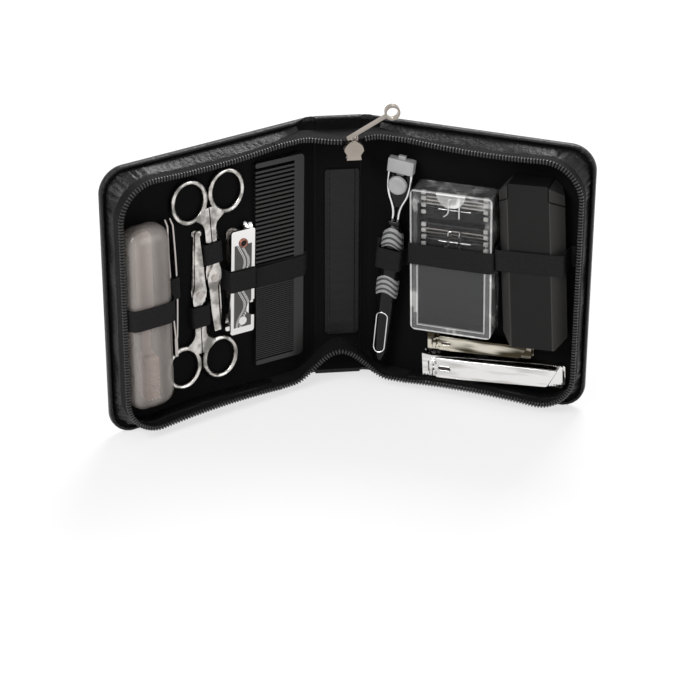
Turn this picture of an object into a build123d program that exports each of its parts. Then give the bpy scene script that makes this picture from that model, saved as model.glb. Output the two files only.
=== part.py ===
"""Manicure set case, open and standing on its lower edges, with every tool in its loop.

Millimetres, +Z up. The origin is at the foot of the spine, in the middle of its thickness.
+X runs along the spine to the right as the open case is read, and -Y looks out of it.
Each cover has its own plane: x to the right, y up, and its normal points off the lining.
"""
from build123d import *
import math
import os

os.makedirs("parts", exist_ok=True)

# ---- driving dimensions: shell ----
case_height = 165.0
spine_width = 34.3
cover_width = 134.2
skin = 0.8
board = 1.6
velvet = 0.8
crease = 4.2
cover_corner = 15.0
turned_edge = 2.4
edge_bead = 1.0
left_fold = 26.5
right_fold = 25.6
splay = 1.55

# ---- walls and zip ----
wall_start = 30.0
wall_side_inset = 3.6
wall_top_inset = 5.6
wall_bottom_inset = 6.0
wall_corner = 22.0
wall_sag = 1.6
wall_leather = 1.3
wall_leather_height = 6.0
tape_thickness = 0.9
seam_gap = 0.8
rail_width = 1.8
rail_height = 0.9
tooth_pitch = 2.2
tooth_length = 1.2
tooth_width = 3.0
tooth_height = 1.2
web_thickness = 0.9
web_clearance = 0.5
bottom_arch_rise = 18.0
top_arch_drop = 2.2
arch_half_width = 28.0
strap_width = 20.0
strap_height = 106.0
strap_foot = 27.0
strap_shift = 2.4
strap_thickness = 1.0

# ---- zip slider and pull ----
slider_x = 6.9
slider_reach = 21.5
slider_width = 11.0
slider_length = 11.2
slider_plate = 1.1
slider_mouth = 2.4
slider_foot = 147.2
bridge_height = 2.0
bridge_bar = 1.2
pull_length = 26.0
pull_width = 3.4
pull_thickness = 1.2
pull_rise = 31.0
pull_lift = 3.2
pull_tail = 4.5
pull_ring = 4.4
pull_wire = 0.8
pull_clearance = 0.25

# ---- common ----
seat = 0.3
band_thickness = 1.0
band_width = 13.0
band_foot = 2.8
band_bend = 1.0
band_clearance = 0.35
running_fit = 0.05

# ---- toothbrush case and toothbrush ----
brush_case_width = 29.0
brush_case_depth = 17.6
brush_case_length = 113.0
brush_case_wall = 1.2
brush_case_dome = 7.0
brush_case_split = 58.0
brush_case_collar = 6.0
brush_case_x = 113.5
brush_case_foot = 18.6
brush_length = 104.0
brush_handle_width = 10.5
brush_handle_thickness = 4.0
brush_head_length = 30.0
brush_grip_length = 50.0
bristle_rows = 12
bristle_columns = 28
bristle_thickness = 0.42
bristle_pitch = 0.8
bristle_length = 7.0
bristle_backing = 0.6

# ---- tweezers ----
tweezers_x = 94.3
tweezers_foot = 43.4
tweezers_lean = 0.8
tweezers_length = 85.0
tweezers_depth = 8.0
tweezers_sheet = 0.9
tweezers_gap = 3.0
tweezers_tip_gap = 2.2
tweezers_weld = 12.0
tweezers_tip_slope = 3.0

# ---- scissors ----
ring_width = 23.6
ring_height = 27.6
ring_wire = 3.0
blade_layer = 1.5
layer_gap = 0.08
shank_width = 4.6
scissor_screw_radius = 1.0
scissor_head_radius = 2.3
scissor_head_height = 0.7
nail_scissors_x = 68.6
nail_scissors_ring_z = 134.6
nail_scissors_lean = 3.2
nail_scissors_pivot = 51.0
nail_scissors_blade = 34.0
nail_scissors_tip_width = 5.2
nail_scissors_loop = 41.5
hair_scissors_x = 75.0
hair_scissors_ring_z = 31.4
hair_scissors_lean = 1.0
hair_scissors_pivot = 44.0
hair_scissors_blade = 38.0
hair_scissors_tip_width = 3.0
hair_scissors_ball = 2.1
hair_scissors_loop = 37.0

# ---- folding pocket tool ----
pocket_x = 51.2
pocket_foot = 46.0
pocket_lean = -1.8
pocket_length = 65.0
pocket_width = 15.4
pocket_scale = 1.3
pocket_channel = 4.6
pocket_spine = 2.2
pocket_rivet = 1.7
pocket_rivet_inset = 8.0
pocket_notch = 5.0
knife_length = 43.0
knife_width = 9.0
knife_thickness = 1.6
file_length = 43.0
file_width = 6.5
file_thickness = 1.2
pocket_shackle = 2.2
shackle_x = 5.0

# ---- comb ----
comb_x = 24.2
comb_foot = 19.0
comb_lean = -0.8
comb_length = 128.0
comb_width = 31.5
comb_thickness = 4.0
comb_spine = 6.4
comb_tip_thickness = 2.2
coarse_pitch = 2.65
coarse_teeth = 24
coarse_tooth = 1.3
fine_pitch = 1.3
fine_teeth = 45
fine_tooth = 0.62
comb_end = 3.0
tooth_root = 1.0

# ---- razor ----
razor_x = 11.2
razor_foot = 12.4
razor_lean = -5.6
razor_handle_length = 92.0
razor_width = 12.6
razor_depth = 11.0
razor_grip_swell = 0.55
razor_grip_length = 10.0
razor_low_grip = 47.0
razor_high_grip = 78.0
neck_rod = 0.95
neck_length = 32.4
neck_spread = 6.6
head_width = 15.4
head_length = 8.6
head_depth = 5.6
head_lift = 3.0
button_radius = 5.6
button_thickness = 2.6
button_travel = 2.2
plunger_width = 4.2
plunger_depth = 1.8
nub_length = 2.0
badge_width = 8.4
badge_length = 28.0
badge_thickness = 0.45

# ---- blade dispenser ----
dispenser_x = 57.3
dispenser_foot = 42.8
dispenser_lean = 1.1
dispenser_width = 48.2
dispenser_length = 88.6
dispenser_depth = 15.0
dispenser_wall = 1.3
dispenser_corner = 3.0
dispenser_tab = 8.6
cartridge_width = 41.0
cartridge_height = 17.0
cartridge_pitch = 20.0
cartridge_depth = 6.0
blade_count = 3
blade_strip = 0.9

# ---- slim case ----
slim_x = 105.6
slim_foot = 41.6
slim_lean = 3.5
slim_length = 102.0
slim_width = 38.0
slim_depth = 14.0
slim_face = 25.0
slim_wall = 1.5
slim_cap_length = 15.0
slim_corner = 8.0
slim_collar = 5.0

# ---- nail clippers: length, width and place of each ----
large_clipper_length = 84.0
large_clipper_width = 15.6
large_clipper_x = 39.0
large_clipper_z = 16.2
large_clipper_lean = 3.0
small_clipper_length = 62.0
small_clipper_width = 11.0
small_clipper_x = 41.6
small_clipper_z = 32.6
small_clipper_lean = 1.6
leaf_thickness = 1.5
leaf_rear_share = 0.16
jaw_gap = 1.2
lever_thickness = 1.3
lever_rear_gap = 2.4
barrel_radius = 1.5
fork_reach = 2.3
pin_radius = 1.3
pin_head = 1.2
pin_clearance = 0.35
cross_bar_radius = 0.6

# ---- worked out from the above ----
panel_thickness = skin + board + velvet
outer_y = panel_thickness / 2
seat_height = panel_thickness + seat
wall_top = case_height - wall_top_inset
wall_bottom = wall_bottom_inset
wall_side = cover_width - wall_side_inset
chain_height = rail_height + tooth_height


def save(piece, name):
    """Label a finished piece and write it under that name."""
    piece.part.label = name
    export_step(piece.part, f"parts/{name}.step")


def panel_plane(fold_x, turn):
    """Outer face of a panel that turns about the vertical fold line at fold_x."""
    angle = math.radians(turn)
    return Plane(
        origin=(fold_x, outer_y, 0),
        x_dir=(math.cos(angle), -math.sin(angle), 0),
        z_dir=(-math.sin(angle), -math.cos(angle), 0),
    )


def place(base, x, y, height, lean=0.0):
    """Plane on a base plane with its origin moved and turned about the normal."""
    angle = math.radians(lean)
    return Plane(
        origin=base.from_local_coords((x, y, height)),
        x_dir=base.x_dir * math.cos(angle) + base.y_dir * math.sin(angle),
        z_dir=base.z_dir,
    )


def across(base, y):
    """Cross-section plane at y of a base plane: sketch x across, sketch y off the lining."""
    return Plane(
        origin=base.from_local_coords((0, y, 0)), x_dir=base.x_dir, z_dir=-base.y_dir
    )


def side_on(base, x):
    """Lengthwise section plane at x of a base plane: sketch x along y, sketch y off the lining."""
    return Plane(origin=base.from_local_coords((x, 0, 0)), x_dir=base.y_dir, z_dir=base.x_dir)


spine = panel_plane(0, 0)
left = panel_plane(-spine_width / 2, -left_fold)
right = panel_plane(spine_width / 2, right_fold)
covers = (("left", left, -1), ("right", right, 1))


def seam_plane(panel, side, drop):
    """Plane where the two rows of the closed zip meet, less a drop towards the cover."""
    height = spine_width / 2 - seam_gap / 2 - drop
    angle = math.radians(side * splay)
    return Plane(
        origin=panel.from_local_coords((0, 0, height)),
        x_dir=panel.x_dir * math.cos(angle) + panel.z_dir * math.sin(angle),
        z_dir=panel.z_dir * math.cos(angle) - panel.x_dir * math.sin(angle),
    )


# ---- covers: leather, board and lining ----
def cover_face(side, inset):
    """Outline of a stiff cover panel, with its two outer corners rounded."""
    width = cover_width - crease - inset
    with BuildSketch() as face:
        with Locations((side * (crease + width / 2), case_height / 2)):
            Rectangle(width, case_height - 2 * inset)
        outer = face.vertices().sort_by(Axis.X)[-2:] if side > 0 else face.vertices().sort_by(Axis.X)[:2]
        fillet(outer, cover_corner - inset)
    return face.sketch


for name, panel, side in covers:
    with BuildPart() as cover_leather:
        with BuildSketch(panel):
            add(cover_face(side, 0))
        extrude(amount=panel_thickness + edge_bead)
        with BuildSketch(panel.offset(skin)):
            add(cover_face(side, turned_edge))
        extrude(amount=panel_thickness + edge_bead, mode=Mode.SUBTRACT)
    save(cover_leather, f"{name}_cover_leather")

    with BuildPart() as cover_board:
        with BuildSketch(panel.offset(skin)):
            add(cover_face(side, turned_edge))
        extrude(amount=board)
    save(cover_board, f"{name}_cover_board")

    with BuildPart() as cover_lining:
        with BuildSketch(panel.offset(skin + board)):
            add(cover_face(side, turned_edge))
        extrude(amount=velvet)
    save(cover_lining, f"{name}_cover_lining")


# ---- gusset walls, zip tape and teeth ----
def wall_line(side):
    """Centre line of a cover's wall, from its top end near the spine round to its foot."""
    run_end = wall_side - wall_corner
    middle = (wall_start + run_end) / 2
    with BuildLine() as line:
        ThreePointArc(
            (side * wall_start, wall_top), (side * middle, wall_top - wall_sag), (side * run_end, wall_top)
        )
        CenterArc((side * run_end, wall_top - wall_corner), wall_corner, 90, -90 * side)
        Line((side * wall_side, wall_top - wall_corner), (side * wall_side, wall_bottom + wall_corner))
        CenterArc(
            (side * run_end, wall_bottom + wall_corner), wall_corner, 90 - 90 * side, -90 * side
        )
        ThreePointArc(
            (side * run_end, wall_bottom),
            (side * middle, wall_bottom + wall_sag),
            (side * wall_start, wall_bottom),
        )
    return line.wires()[0]


for name, panel, side in covers:
    line = wall_line(side)
    with BuildPart() as gusset:
        with BuildSketch(panel.offset(panel_thickness)):
            trace(line, line_width=wall_leather)
        extrude(amount=wall_leather_height)
    save(gusset, f"{name}_gusset")

    tape_foot = panel_thickness + wall_leather_height
    with BuildPart() as zip_tape:
        with BuildSketch(panel.offset(tape_foot)):
            trace(line, line_width=tape_thickness)
        extrude(amount=spine_width / 2)
        split(bisect_by=seam_plane(panel, side, chain_height), keep=Keep.BOTTOM)
    save(zip_tape, f"{name}_zip_tape")

    tooth_count = int(line.length / tooth_pitch)
    rail = seam_plane(panel, side, chain_height)
    spots = []
    for index in range(tooth_count):
        share = (index + 0.5) / tooth_count
        point = line.position_at(share)
        turn = line.tangent_angle_at(share)
        spots.append(Location((point.X, point.Y, rail_height), (0, 0, turn)))
    with BuildPart(rail) as zip_teeth:
        with BuildSketch(rail):
            trace(line, line_width=rail_width)
        extrude(amount=rail_height)
        with Locations(*spots):
            Box(tooth_length, tooth_width, tooth_height, align=(Align.CENTER, Align.CENTER, Align.MIN))
    save(zip_teeth, f"{name}_zip_teeth")


# ---- spine ----
stiff_spine = spine_width - 2 * crease

with BuildPart() as spine_leather:
    with BuildSketch(spine):
        with Locations((0, case_height / 2)):
            Rectangle(stiff_spine, case_height)
    extrude(amount=panel_thickness)
    with BuildSketch(spine.offset(skin)):
        with Locations((0, case_height / 2)):
            Rectangle(stiff_spine, case_height - 2 * turned_edge)
    extrude(amount=panel_thickness, mode=Mode.SUBTRACT)
save(spine_leather, "spine_leather")

with BuildPart() as spine_board:
    with BuildSketch(spine.offset(skin)):
        with Locations((0, case_height / 2)):
            Rectangle(stiff_spine, case_height - 2 * turned_edge)
    extrude(amount=board)
save(spine_board, "spine_board")

with BuildPart() as spine_lining:
    with BuildSketch(spine.offset(skin + board)):
        with Locations((0, case_height / 2)):
            Rectangle(stiff_spine, case_height - 2 * turned_edge)
    extrude(amount=velvet)
save(spine_lining, "spine_lining")

with BuildPart() as spine_strap:
    with BuildSketch(spine.offset(panel_thickness)):
        with Locations((strap_shift, strap_foot + strap_height / 2)):
            RectangleRounded(strap_width, strap_height, 1.5)
    extrude(amount=strap_thickness)
save(spine_strap, "spine_strap")

with BuildPart() as fold_leathers:
    for name, panel, side in covers:
        for base, start in ((panel, side * crease / 2), (spine, side * (spine_width - crease) / 2)):
            with BuildSketch(base):
                with Locations((start, case_height / 2)):
                    Rectangle(crease, case_height)
            extrude(amount=skin)
save(fold_leathers, "fold_leathers")


# ---- soft gusset across the spine, with the two ends of the zip on it ----
def web_plan(reach_in, reach_out):
    """Plan of the soft web between the two walls, from the linings out to the zip ends."""
    gap = web_clearance
    lining = panel_thickness + gap
    near = wall_start - gap
    crown = spine_width / 2 - seam_gap / 2 - chain_height
    corners = [
        left.from_local_coords((-near, 0, lining)),
        left.from_local_coords((-crease, 0, lining)),
        spine.from_local_coords((0, 0, lining)),
        right.from_local_coords((crease, 0, lining)),
        right.from_local_coords((near, 0, lining)),
        right.from_local_coords((near, 0, crown + reach_out)),
        spine.from_local_coords((slider_x, 0, slider_reach + reach_in)),
        left.from_local_coords((-near, 0, crown + reach_out)),
    ]
    return [(corner.X, corner.Y) for corner in corners]


def web_slice(foot, rise, depth):
    """Upright band of the given depth that rises by rise in the middle of the spine."""
    reach = spine_width / 2 + wall_start
    half = arch_half_width
    with BuildPart() as slice_part:
        with BuildSketch(spine.offset(-panel_thickness)):
            with BuildLine() as bend:
                Line((-reach, foot), (-half, foot))
                TangentArc((-half, foot), (-half / 2, foot + rise / 2), tangent=(1, 0))
                TangentArc((0, foot + rise), (-half / 2, foot + rise / 2), tangent=(-1, 0))
                TangentArc((0, foot + rise), (half / 2, foot + rise / 2), tangent=(1, 0))
                TangentArc((half, foot), (half / 2, foot + rise / 2), tangent=(-1, 0))
                Line((half, foot), (reach, foot))
            trace(bend.line, line_width=depth)
        extrude(amount=2 * wall_start + slider_reach)
    return slice_part.part


web_levels = ((wall_top, -top_arch_drop), (wall_bottom, bottom_arch_rise))

slider_back = slider_reach - slider_mouth / 2 - slider_plate - running_fit


def web_part(foot, rise, depth, inner, outer):
    """Part of the upright band that lies between two plans, open where the slider stands."""
    with BuildPart() as piece:
        with BuildSketch(Plane.XY):
            Polygon(*outer, align=None)
            if inner:
                Polygon(*inner, align=None, mode=Mode.SUBTRACT)
        extrude(amount=case_height)
        add(web_slice(foot, rise, depth), mode=Mode.INTERSECT)
        with BuildSketch(spine.offset(slider_back)):
            with Locations((slider_x, case_height)):
                Rectangle(slider_width + 2 * running_fit, spine_width, mode=Mode.ADD)
        extrude(amount=slider_reach, mode=Mode.SUBTRACT)
    return piece.part


web_edge = web_plan(-rail_width / 2, 0)
chain_edge = web_plan(rail_width / 2, chain_height)

with BuildPart() as gusset_webs:
    for foot, rise in web_levels:
        add(web_part(foot, rise, web_thickness, None, web_edge))
save(gusset_webs, "gusset_webs")

with BuildPart() as zip_ends:
    for foot, rise in web_levels:
        add(web_part(foot, rise, tooth_width, web_edge, chain_edge))
save(zip_ends, "zip_ends")

# ---- zip slider and its pull ----
slider = place(spine, slider_x, slider_foot, slider_reach)
pull_pivot_y = slider_length + bridge_height / 2
post_level = (slider_mouth + slider_plate) / 2

with BuildPart() as zip_slider:
    for level in (-slider_mouth / 2 - slider_plate, slider_mouth / 2):
        with BuildSketch(slider.offset(level)):
            with BuildLine():
                Polyline(
                    (0, 0),
                    (slider_width * 0.38, 0),
                    (slider_width * 0.34, slider_length * 0.25),
                    (slider_width * 0.5, slider_length * 0.5),
                )
                ThreePointArc(
                    (slider_width * 0.5, slider_length * 0.5),
                    (slider_width * 0.36, slider_length * 0.83),
                    (0, slider_length),
                )
                mirror(about=Plane.YZ)
            make_face()
        extrude(amount=slider_plate)
    with BuildSketch(slider.offset(-slider_mouth / 2)):
        with Locations((0, slider_length * 0.5)):
            RegularPolygon(slider_width * 0.18, 3, rotation=-90)
    extrude(amount=slider_mouth)
    with BuildSketch(across(slider, slider_length + bridge_height)):
        with Locations((0, post_level)):
            Circle(bridge_bar / 2)
    extrude(amount=bridge_height + slider_length * 0.3)
    with BuildSketch(across(slider, slider_length + bridge_height + bridge_bar / 2)):
        with Locations((0, post_level)):
            Circle(bridge_bar)
    extrude(amount=bridge_bar / 2)
save(zip_slider, "zip_slider")

pull = place(slider, 0, pull_pivot_y + pull_lift, post_level, pull_rise)
pull_bore = bridge_bar / 2 + pull_clearance
pull_eye = pull_bore + 1.5 * pull_wire
ring_centre = pull_length - pull_tail + pull_ring - pull_thickness
with BuildPart() as zip_pull:
    with BuildSketch(across(slider, pull_pivot_y + pull_wire / 2)):
        with Locations((0, post_level)):
            Circle(pull_eye)
            Circle(pull_bore, mode=Mode.SUBTRACT)
    extrude(amount=pull_wire)
    with BuildSketch(slider.offset(post_level - pull_wire)):
        with Locations((pull_eye - pull_wire / 2, pull_pivot_y + pull_lift * 0.6)):
            Rectangle(pull_wire, pull_lift * 1.2 + pull_wire)
    extrude(amount=2 * pull_wire)
    with BuildSketch(pull.offset(-pull_width / 2)):
        with Locations((pull_length / 2 - pull_tail, 0)):
            Rectangle(pull_length, pull_thickness)
        with Locations((ring_centre, 0)):
            Circle(pull_ring)
            Circle(pull_ring - pull_thickness, mode=Mode.SUBTRACT)
    extrude(amount=pull_width)
save(zip_pull, "zip_pull")


# ---- elastic loops over the tools ----
def elastic_loop(tool, x0, x1, height, y_low, feet=(band_foot, band_foot), bend=band_bend, width=band_width):
    """Elastic strap over a tool between x0 and x1, stitched down beside it on its feet."""
    gap = band_clearance
    low = -seat
    up = low + band_thickness
    inner_bend = bend - band_thickness * (2 - math.sqrt(2))
    wide = (x0 - gap - band_thickness, x1 + gap + band_thickness)
    roof = height + gap + band_thickness
    with BuildPart() as strap:
        with BuildSketch(across(tool, y_low + width)):
            Polygon(
                (wide[0], low),
                (wide[0], roof - bend),
                (wide[0] + bend, roof),
                (wide[1] - bend, roof),
                (wide[1], roof - bend),
                (wide[1], low),
                (wide[1] - band_thickness, low),
                (wide[1] - band_thickness, roof - band_thickness - inner_bend),
                (wide[1] - band_thickness - inner_bend, roof - band_thickness),
                (wide[0] + band_thickness + inner_bend, roof - band_thickness),
                (wide[0] + band_thickness, roof - band_thickness - inner_bend),
                (wide[0] + band_thickness, low),
                align=None,
            )
            for foot, edge, side in zip(feet, wide, (-1, 1)):
                if foot:
                    with Locations((edge + side * foot / 2, (low + up) / 2)):
                        Rectangle(foot + 0.02, band_thickness)
        extrude(amount=width)
    return strap.part


left_loops = []
right_loops = []

# ---- toothbrush case, in two halves, and the toothbrush in it ----
brush_case = place(left, -brush_case_x, brush_case_foot, seat_height)
brush_case_corner = brush_case_depth * 0.45


def capsule(inset):
    """Rounded case body, drawn in by an inset on every side."""
    with BuildPart() as body:
        with BuildSketch(across(brush_case, brush_case_length - inset)):
            with Locations((0, brush_case_depth / 2)):
                RectangleRounded(
                    brush_case_width - 2 * inset, brush_case_depth - 2 * inset, brush_case_corner - inset
                )
        extrude(amount=brush_case_length - 2 * inset)
        ends = body.faces().sort_by(Axis.Z)[0].edges() + body.faces().sort_by(Axis.Z)[-1].edges()
        fillet(ends, brush_case_dome - inset)
    return body.part


def brush_sleeve(top, depth, outset, bore):
    """Rounded ring of the collar, from top downwards."""
    with BuildPart() as ring:
        with BuildSketch(across(brush_case, top)):
            with Locations((0, brush_case_depth / 2)):
                for inset, mode in ((outset, Mode.ADD), (bore, Mode.SUBTRACT)):
                    RectangleRounded(
                        brush_case_width - 2 * inset,
                        brush_case_depth - 2 * inset,
                        brush_case_corner - inset,
                        mode=mode,
                    )
        extrude(amount=depth)
    return ring.part


collar_outset = brush_case_wall + running_fit
collar_bore = collar_outset + 0.9
with BuildPart() as brush_case_lower:
    add(capsule(0))
    add(capsule(brush_case_wall), mode=Mode.SUBTRACT)
    split(bisect_by=across(brush_case, brush_case_split), keep=Keep.TOP)
    add(brush_sleeve(brush_case_split, brush_case_collar / 2, brush_case_wall, collar_bore))
    add(brush_sleeve(brush_case_split + brush_case_collar, brush_case_collar, collar_outset, collar_bore))
save(brush_case_lower, "brush_case_lower")

with BuildPart() as brush_case_upper:
    add(capsule(0))
    add(capsule(brush_case_wall), mode=Mode.SUBTRACT)
    split(bisect_by=across(brush_case, brush_case_split), keep=Keep.BOTTOM)
save(brush_case_upper, "brush_case_upper")

brush_back = brush_case_wall + 2.6
brush_head_foot = brush_case_wall + 3.0
brush = place(brush_case, 0, brush_head_foot, brush_back)
with BuildPart() as toothbrush_handle:
    with BuildSketch(brush):
        with Locations((0, brush_head_length / 2)):
            RectangleRounded(brush_handle_width, brush_head_length, brush_handle_width * 0.45)
        with Locations((0, (brush_length + brush_head_length - brush_grip_length) / 2)):
            Rectangle(brush_handle_width * 0.5, brush_length - brush_head_length - brush_grip_length + 4)
        with Locations((0, brush_length - brush_grip_length / 2)):
            RectangleRounded(brush_handle_width, brush_grip_length, brush_handle_width * 0.4)
    extrude(amount=brush_handle_thickness)
save(toothbrush_handle, "toothbrush_handle")

bristle_face = place(brush, 0, brush_head_length / 2, brush_handle_thickness)
with BuildPart(bristle_face) as toothbrush_bristles:
    with BuildSketch(bristle_face):
        RectangleRounded(
            bristle_rows * bristle_pitch + bristle_pitch * 0.2,
            bristle_columns * bristle_pitch + bristle_pitch * 0.2,
            bristle_pitch,
        )
    extrude(amount=bristle_backing)
    with BuildSketch(bristle_face.offset(bristle_backing / 2)):
        with GridLocations(bristle_pitch, bristle_pitch, bristle_rows, bristle_columns):
            Rectangle(bristle_thickness, bristle_thickness)
    extrude(amount=bristle_length)
save(toothbrush_bristles, "toothbrush_bristles")
left_loops.append(
    elastic_loop(
        brush_case,
        -brush_case_width / 2,
        brush_case_width / 2,
        brush_case_depth,
        brush_case_split - 4,
        feet=(0, 0),
        bend=4.0,
    )
)

# ---- tweezers, standing on edge ----
tweezers = place(left, -tweezers_x, tweezers_foot, seat_height, tweezers_lean)
half_sheet = tweezers_sheet / 2


def tweezer_arm(hand, start):
    """One sprung arm of the tweezers on the side named by hand."""
    foot_x = hand * half_sheet
    with BuildPart() as arm:
        with BuildSketch(tweezers):
            with BuildLine() as bow:
                ThreePointArc(
                    (foot_x, start),
                    (hand * (tweezers_gap / 2 + half_sheet), tweezers_length * 0.55),
                    (hand * (tweezers_tip_gap / 2 + half_sheet), tweezers_length),
                )
            trace(bow.line, line_width=tweezers_sheet)
        extrude(amount=tweezers_depth)
        with BuildSketch(side_on(tweezers, -tweezers_gap * 2)):
            Polygon(
                (0, 0.4),
                (tweezers_weld, 0),
                (tweezers_length * 0.5, 0),
                (tweezers_length + 1, 2.4),
                (tweezers_length - tweezers_tip_slope, tweezers_depth - 1.6),
                (tweezers_length * 0.5, tweezers_depth),
                (tweezers_weld, tweezers_depth),
                (0, tweezers_depth - 0.6),
                align=None,
            )
        extrude(amount=tweezers_gap * 4, mode=Mode.INTERSECT)
    return arm.part


with BuildPart() as tweezers_fixed_arm:
    add(tweezer_arm(-1, tweezers_weld))
    with BuildSketch(tweezers.offset(0.4)):
        with Locations((0, tweezers_weld / 2)):
            Rectangle(2 * tweezers_sheet + running_fit, tweezers_weld)
    extrude(amount=tweezers_depth - 1)
save(tweezers_fixed_arm, "tweezers_fixed_arm")

with BuildPart() as tweezers_spring_arm:
    add(tweezer_arm(1, tweezers_weld + 3 * running_fit))
save(tweezers_spring_arm, "tweezers_spring_arm")
left_loops.append(
    elastic_loop(
        tweezers,
        -tweezers_gap / 2 - tweezers_sheet,
        tweezers_gap / 2 + tweezers_sheet,
        tweezers_depth,
        tweezers_length * 0.44,
        feet=(0, band_foot),
    )
)

# ---- scissors ----
scissor_thickness = 2 * blade_layer + layer_gap
half_gap = 0.25


def scissor_half(pivot, hand, arm, blade, tip_width, ball):
    """Half a pair of scissors: ring on the hand side of the pivot, blade past it in one layer."""
    front = hand > 0
    level = blade_layer + layer_gap if front else 0
    ring_x = hand * (ring_width / 2 + half_gap)
    blade_side = -hand
    with BuildPart() as half:
        with BuildSketch(pivot):
            with Locations((ring_x, arm)):
                Ellipse(ring_width / 2, ring_height / 2)
                Ellipse(ring_width / 2 - ring_wire, ring_height / 2 - ring_wire, mode=Mode.SUBTRACT)
        extrude(amount=scissor_thickness)
        fillet(half.edges(), ring_wire * 0.3)
        with BuildSketch(pivot):
            Polygon(
                (hand * half_gap, arm - ring_height * 0.15),
                (hand * ring_wire * 0.9, arm - ring_height * 0.2),
                (hand * (ring_width * 0.42), arm - ring_height * 0.5 + ring_wire * 0.5),
                (hand * (ring_width * 0.3), arm - ring_height * 0.5 + ring_wire * 0.2),
                (hand * shank_width, arm - ring_height * 0.68),
                (hand * shank_width * 0.9, shank_width * 2),
                (hand * half_gap, shank_width * 2),
                align=None,
            )
        extrude(amount=scissor_thickness)
        with BuildSketch(pivot.offset(level)):
            Circle(shank_width)
            Polygon(
                (hand * half_gap, shank_width * 2.2),
                (hand * shank_width * 0.9, shank_width * 2.2),
                (hand * shank_width, 0),
                (blade_side * shank_width, -shank_width * 0.6),
                (blade_side * shank_width, 0),
                align=None,
            )
            Polygon(
                (hand * shank_width * 0.25, 0),
                (hand * tip_width * 0.16, -blade),
                (blade_side * tip_width * 0.8, -blade),
                (blade_side * shank_width, -shank_width),
                (blade_side * shank_width, 0),
                align=None,
            )
            if ball > 0:
                with Locations((blade_side * tip_width * 0.3, -blade)):
                    Circle(ball)
        extrude(amount=blade_layer)
        with BuildSketch(pivot):
            Circle(scissor_screw_radius + running_fit)
        extrude(amount=scissor_thickness, mode=Mode.SUBTRACT)
    return half.part


nail_rings = place(left, -nail_scissors_x, nail_scissors_ring_z, seat_height, nail_scissors_lean)
hair_rings = place(left, -hair_scissors_x, hair_scissors_ring_z, seat_height, 180 + hair_scissors_lean)
scissors = (
    (
        "nail_scissors",
        nail_rings,
        nail_scissors_pivot,
        nail_scissors_blade,
        nail_scissors_tip_width,
        0,
        nail_scissors_loop,
    ),
    (
        "hair_scissors",
        hair_rings,
        hair_scissors_pivot,
        hair_scissors_blade,
        hair_scissors_tip_width,
        hair_scissors_ball,
        hair_scissors_loop,
    ),
)
for name, rings, arm, blade, tip_width, ball, loop_reach in scissors:
    pivot = place(rings, 0, -arm, 0)
    with BuildPart() as back_half:
        add(scissor_half(pivot, -1, arm, blade, tip_width, ball))
    save(back_half, f"{name}_back_half")

    with BuildPart() as front_half:
        add(scissor_half(pivot, 1, arm, blade, tip_width, ball))
    save(front_half, f"{name}_front_half")

    with BuildPart() as screw:
        with BuildSketch(pivot):
            Circle(scissor_screw_radius)
        extrude(amount=scissor_thickness)
        with BuildSketch(pivot.offset(scissor_thickness)):
            Circle(scissor_head_radius)
        extrude(amount=scissor_head_height)
        with BuildSketch(pivot.offset(scissor_thickness + scissor_head_height / 2)):
            Rectangle(2 * scissor_head_radius, scissor_head_height)
        extrude(amount=scissor_head_height, mode=Mode.SUBTRACT)
    save(screw, f"{name}_screw")
    left_loops.append(
        elastic_loop(
            rings,
            -shank_width,
            shank_width,
            scissor_thickness,
            -loop_reach,
            feet=(band_foot * 0.7, 0),
        )
    )

# ---- folding pocket tool ----
pocket = place(left, -pocket_x, pocket_foot, seat_height, pocket_lean)
pocket_depth = 2 * pocket_scale + pocket_channel
knife_pivot_y = pocket_length - pocket_rivet_inset
file_pivot_y = pocket_rivet_inset
pocket_pivots = (file_pivot_y, knife_pivot_y)

with BuildPart() as pocket_scales:
    for level in (0, pocket_scale + pocket_channel):
        with BuildSketch(pocket.offset(level)):
            with Locations((0, pocket_length / 2)):
                RectangleRounded(pocket_width, pocket_length, 1.5)
            if level:
                with Locations((pocket_width / 2, pocket_notch * 3)):
                    Circle(pocket_notch, mode=Mode.SUBTRACT)
            with Locations(*[(0, y) for y in pocket_pivots]):
                Circle(pocket_rivet, mode=Mode.SUBTRACT)
        extrude(amount=pocket_scale)
    with BuildSketch(pocket.offset(pocket_scale)):
        with Locations(((pocket_width - pocket_spine) / 2, pocket_length * 0.62)):
            Rectangle(pocket_spine, pocket_length * 0.7)
    extrude(amount=pocket_channel)
save(pocket_scales, "pocket_tool_scales")

with BuildPart() as pocket_rivets:
    with BuildSketch(pocket):
        with Locations(*[(0, y) for y in pocket_pivots]):
            Circle(pocket_rivet)
    extrude(amount=pocket_depth)
    with BuildSketch(pocket.offset(pocket_depth)):
        with Locations(*[(0, y) for y in pocket_pivots]):
            Circle(pocket_rivet * 1.5)
    extrude(amount=0.4)
    with BuildSketch(pocket.offset(pocket_depth - pocket_scale)):
        with Locations((0, knife_pivot_y)):
            Circle(pocket_rivet * 0.62)
    extrude(amount=pocket_scale + 1, mode=Mode.SUBTRACT)
    with BuildSketch(side_on(pocket, shackle_x - pocket_shackle / 2)):
        with Locations((pocket_length, pocket_depth / 2)):
            Circle(pocket_depth / 2)
            Circle(pocket_depth / 2 - 0.8, mode=Mode.SUBTRACT)
        with Locations((pocket_length - pocket_depth, pocket_depth / 2)):
            Rectangle(2 * pocket_depth, pocket_depth, mode=Mode.SUBTRACT)
    extrude(amount=pocket_shackle)
save(pocket_rivets, "pocket_tool_rivets")

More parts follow.
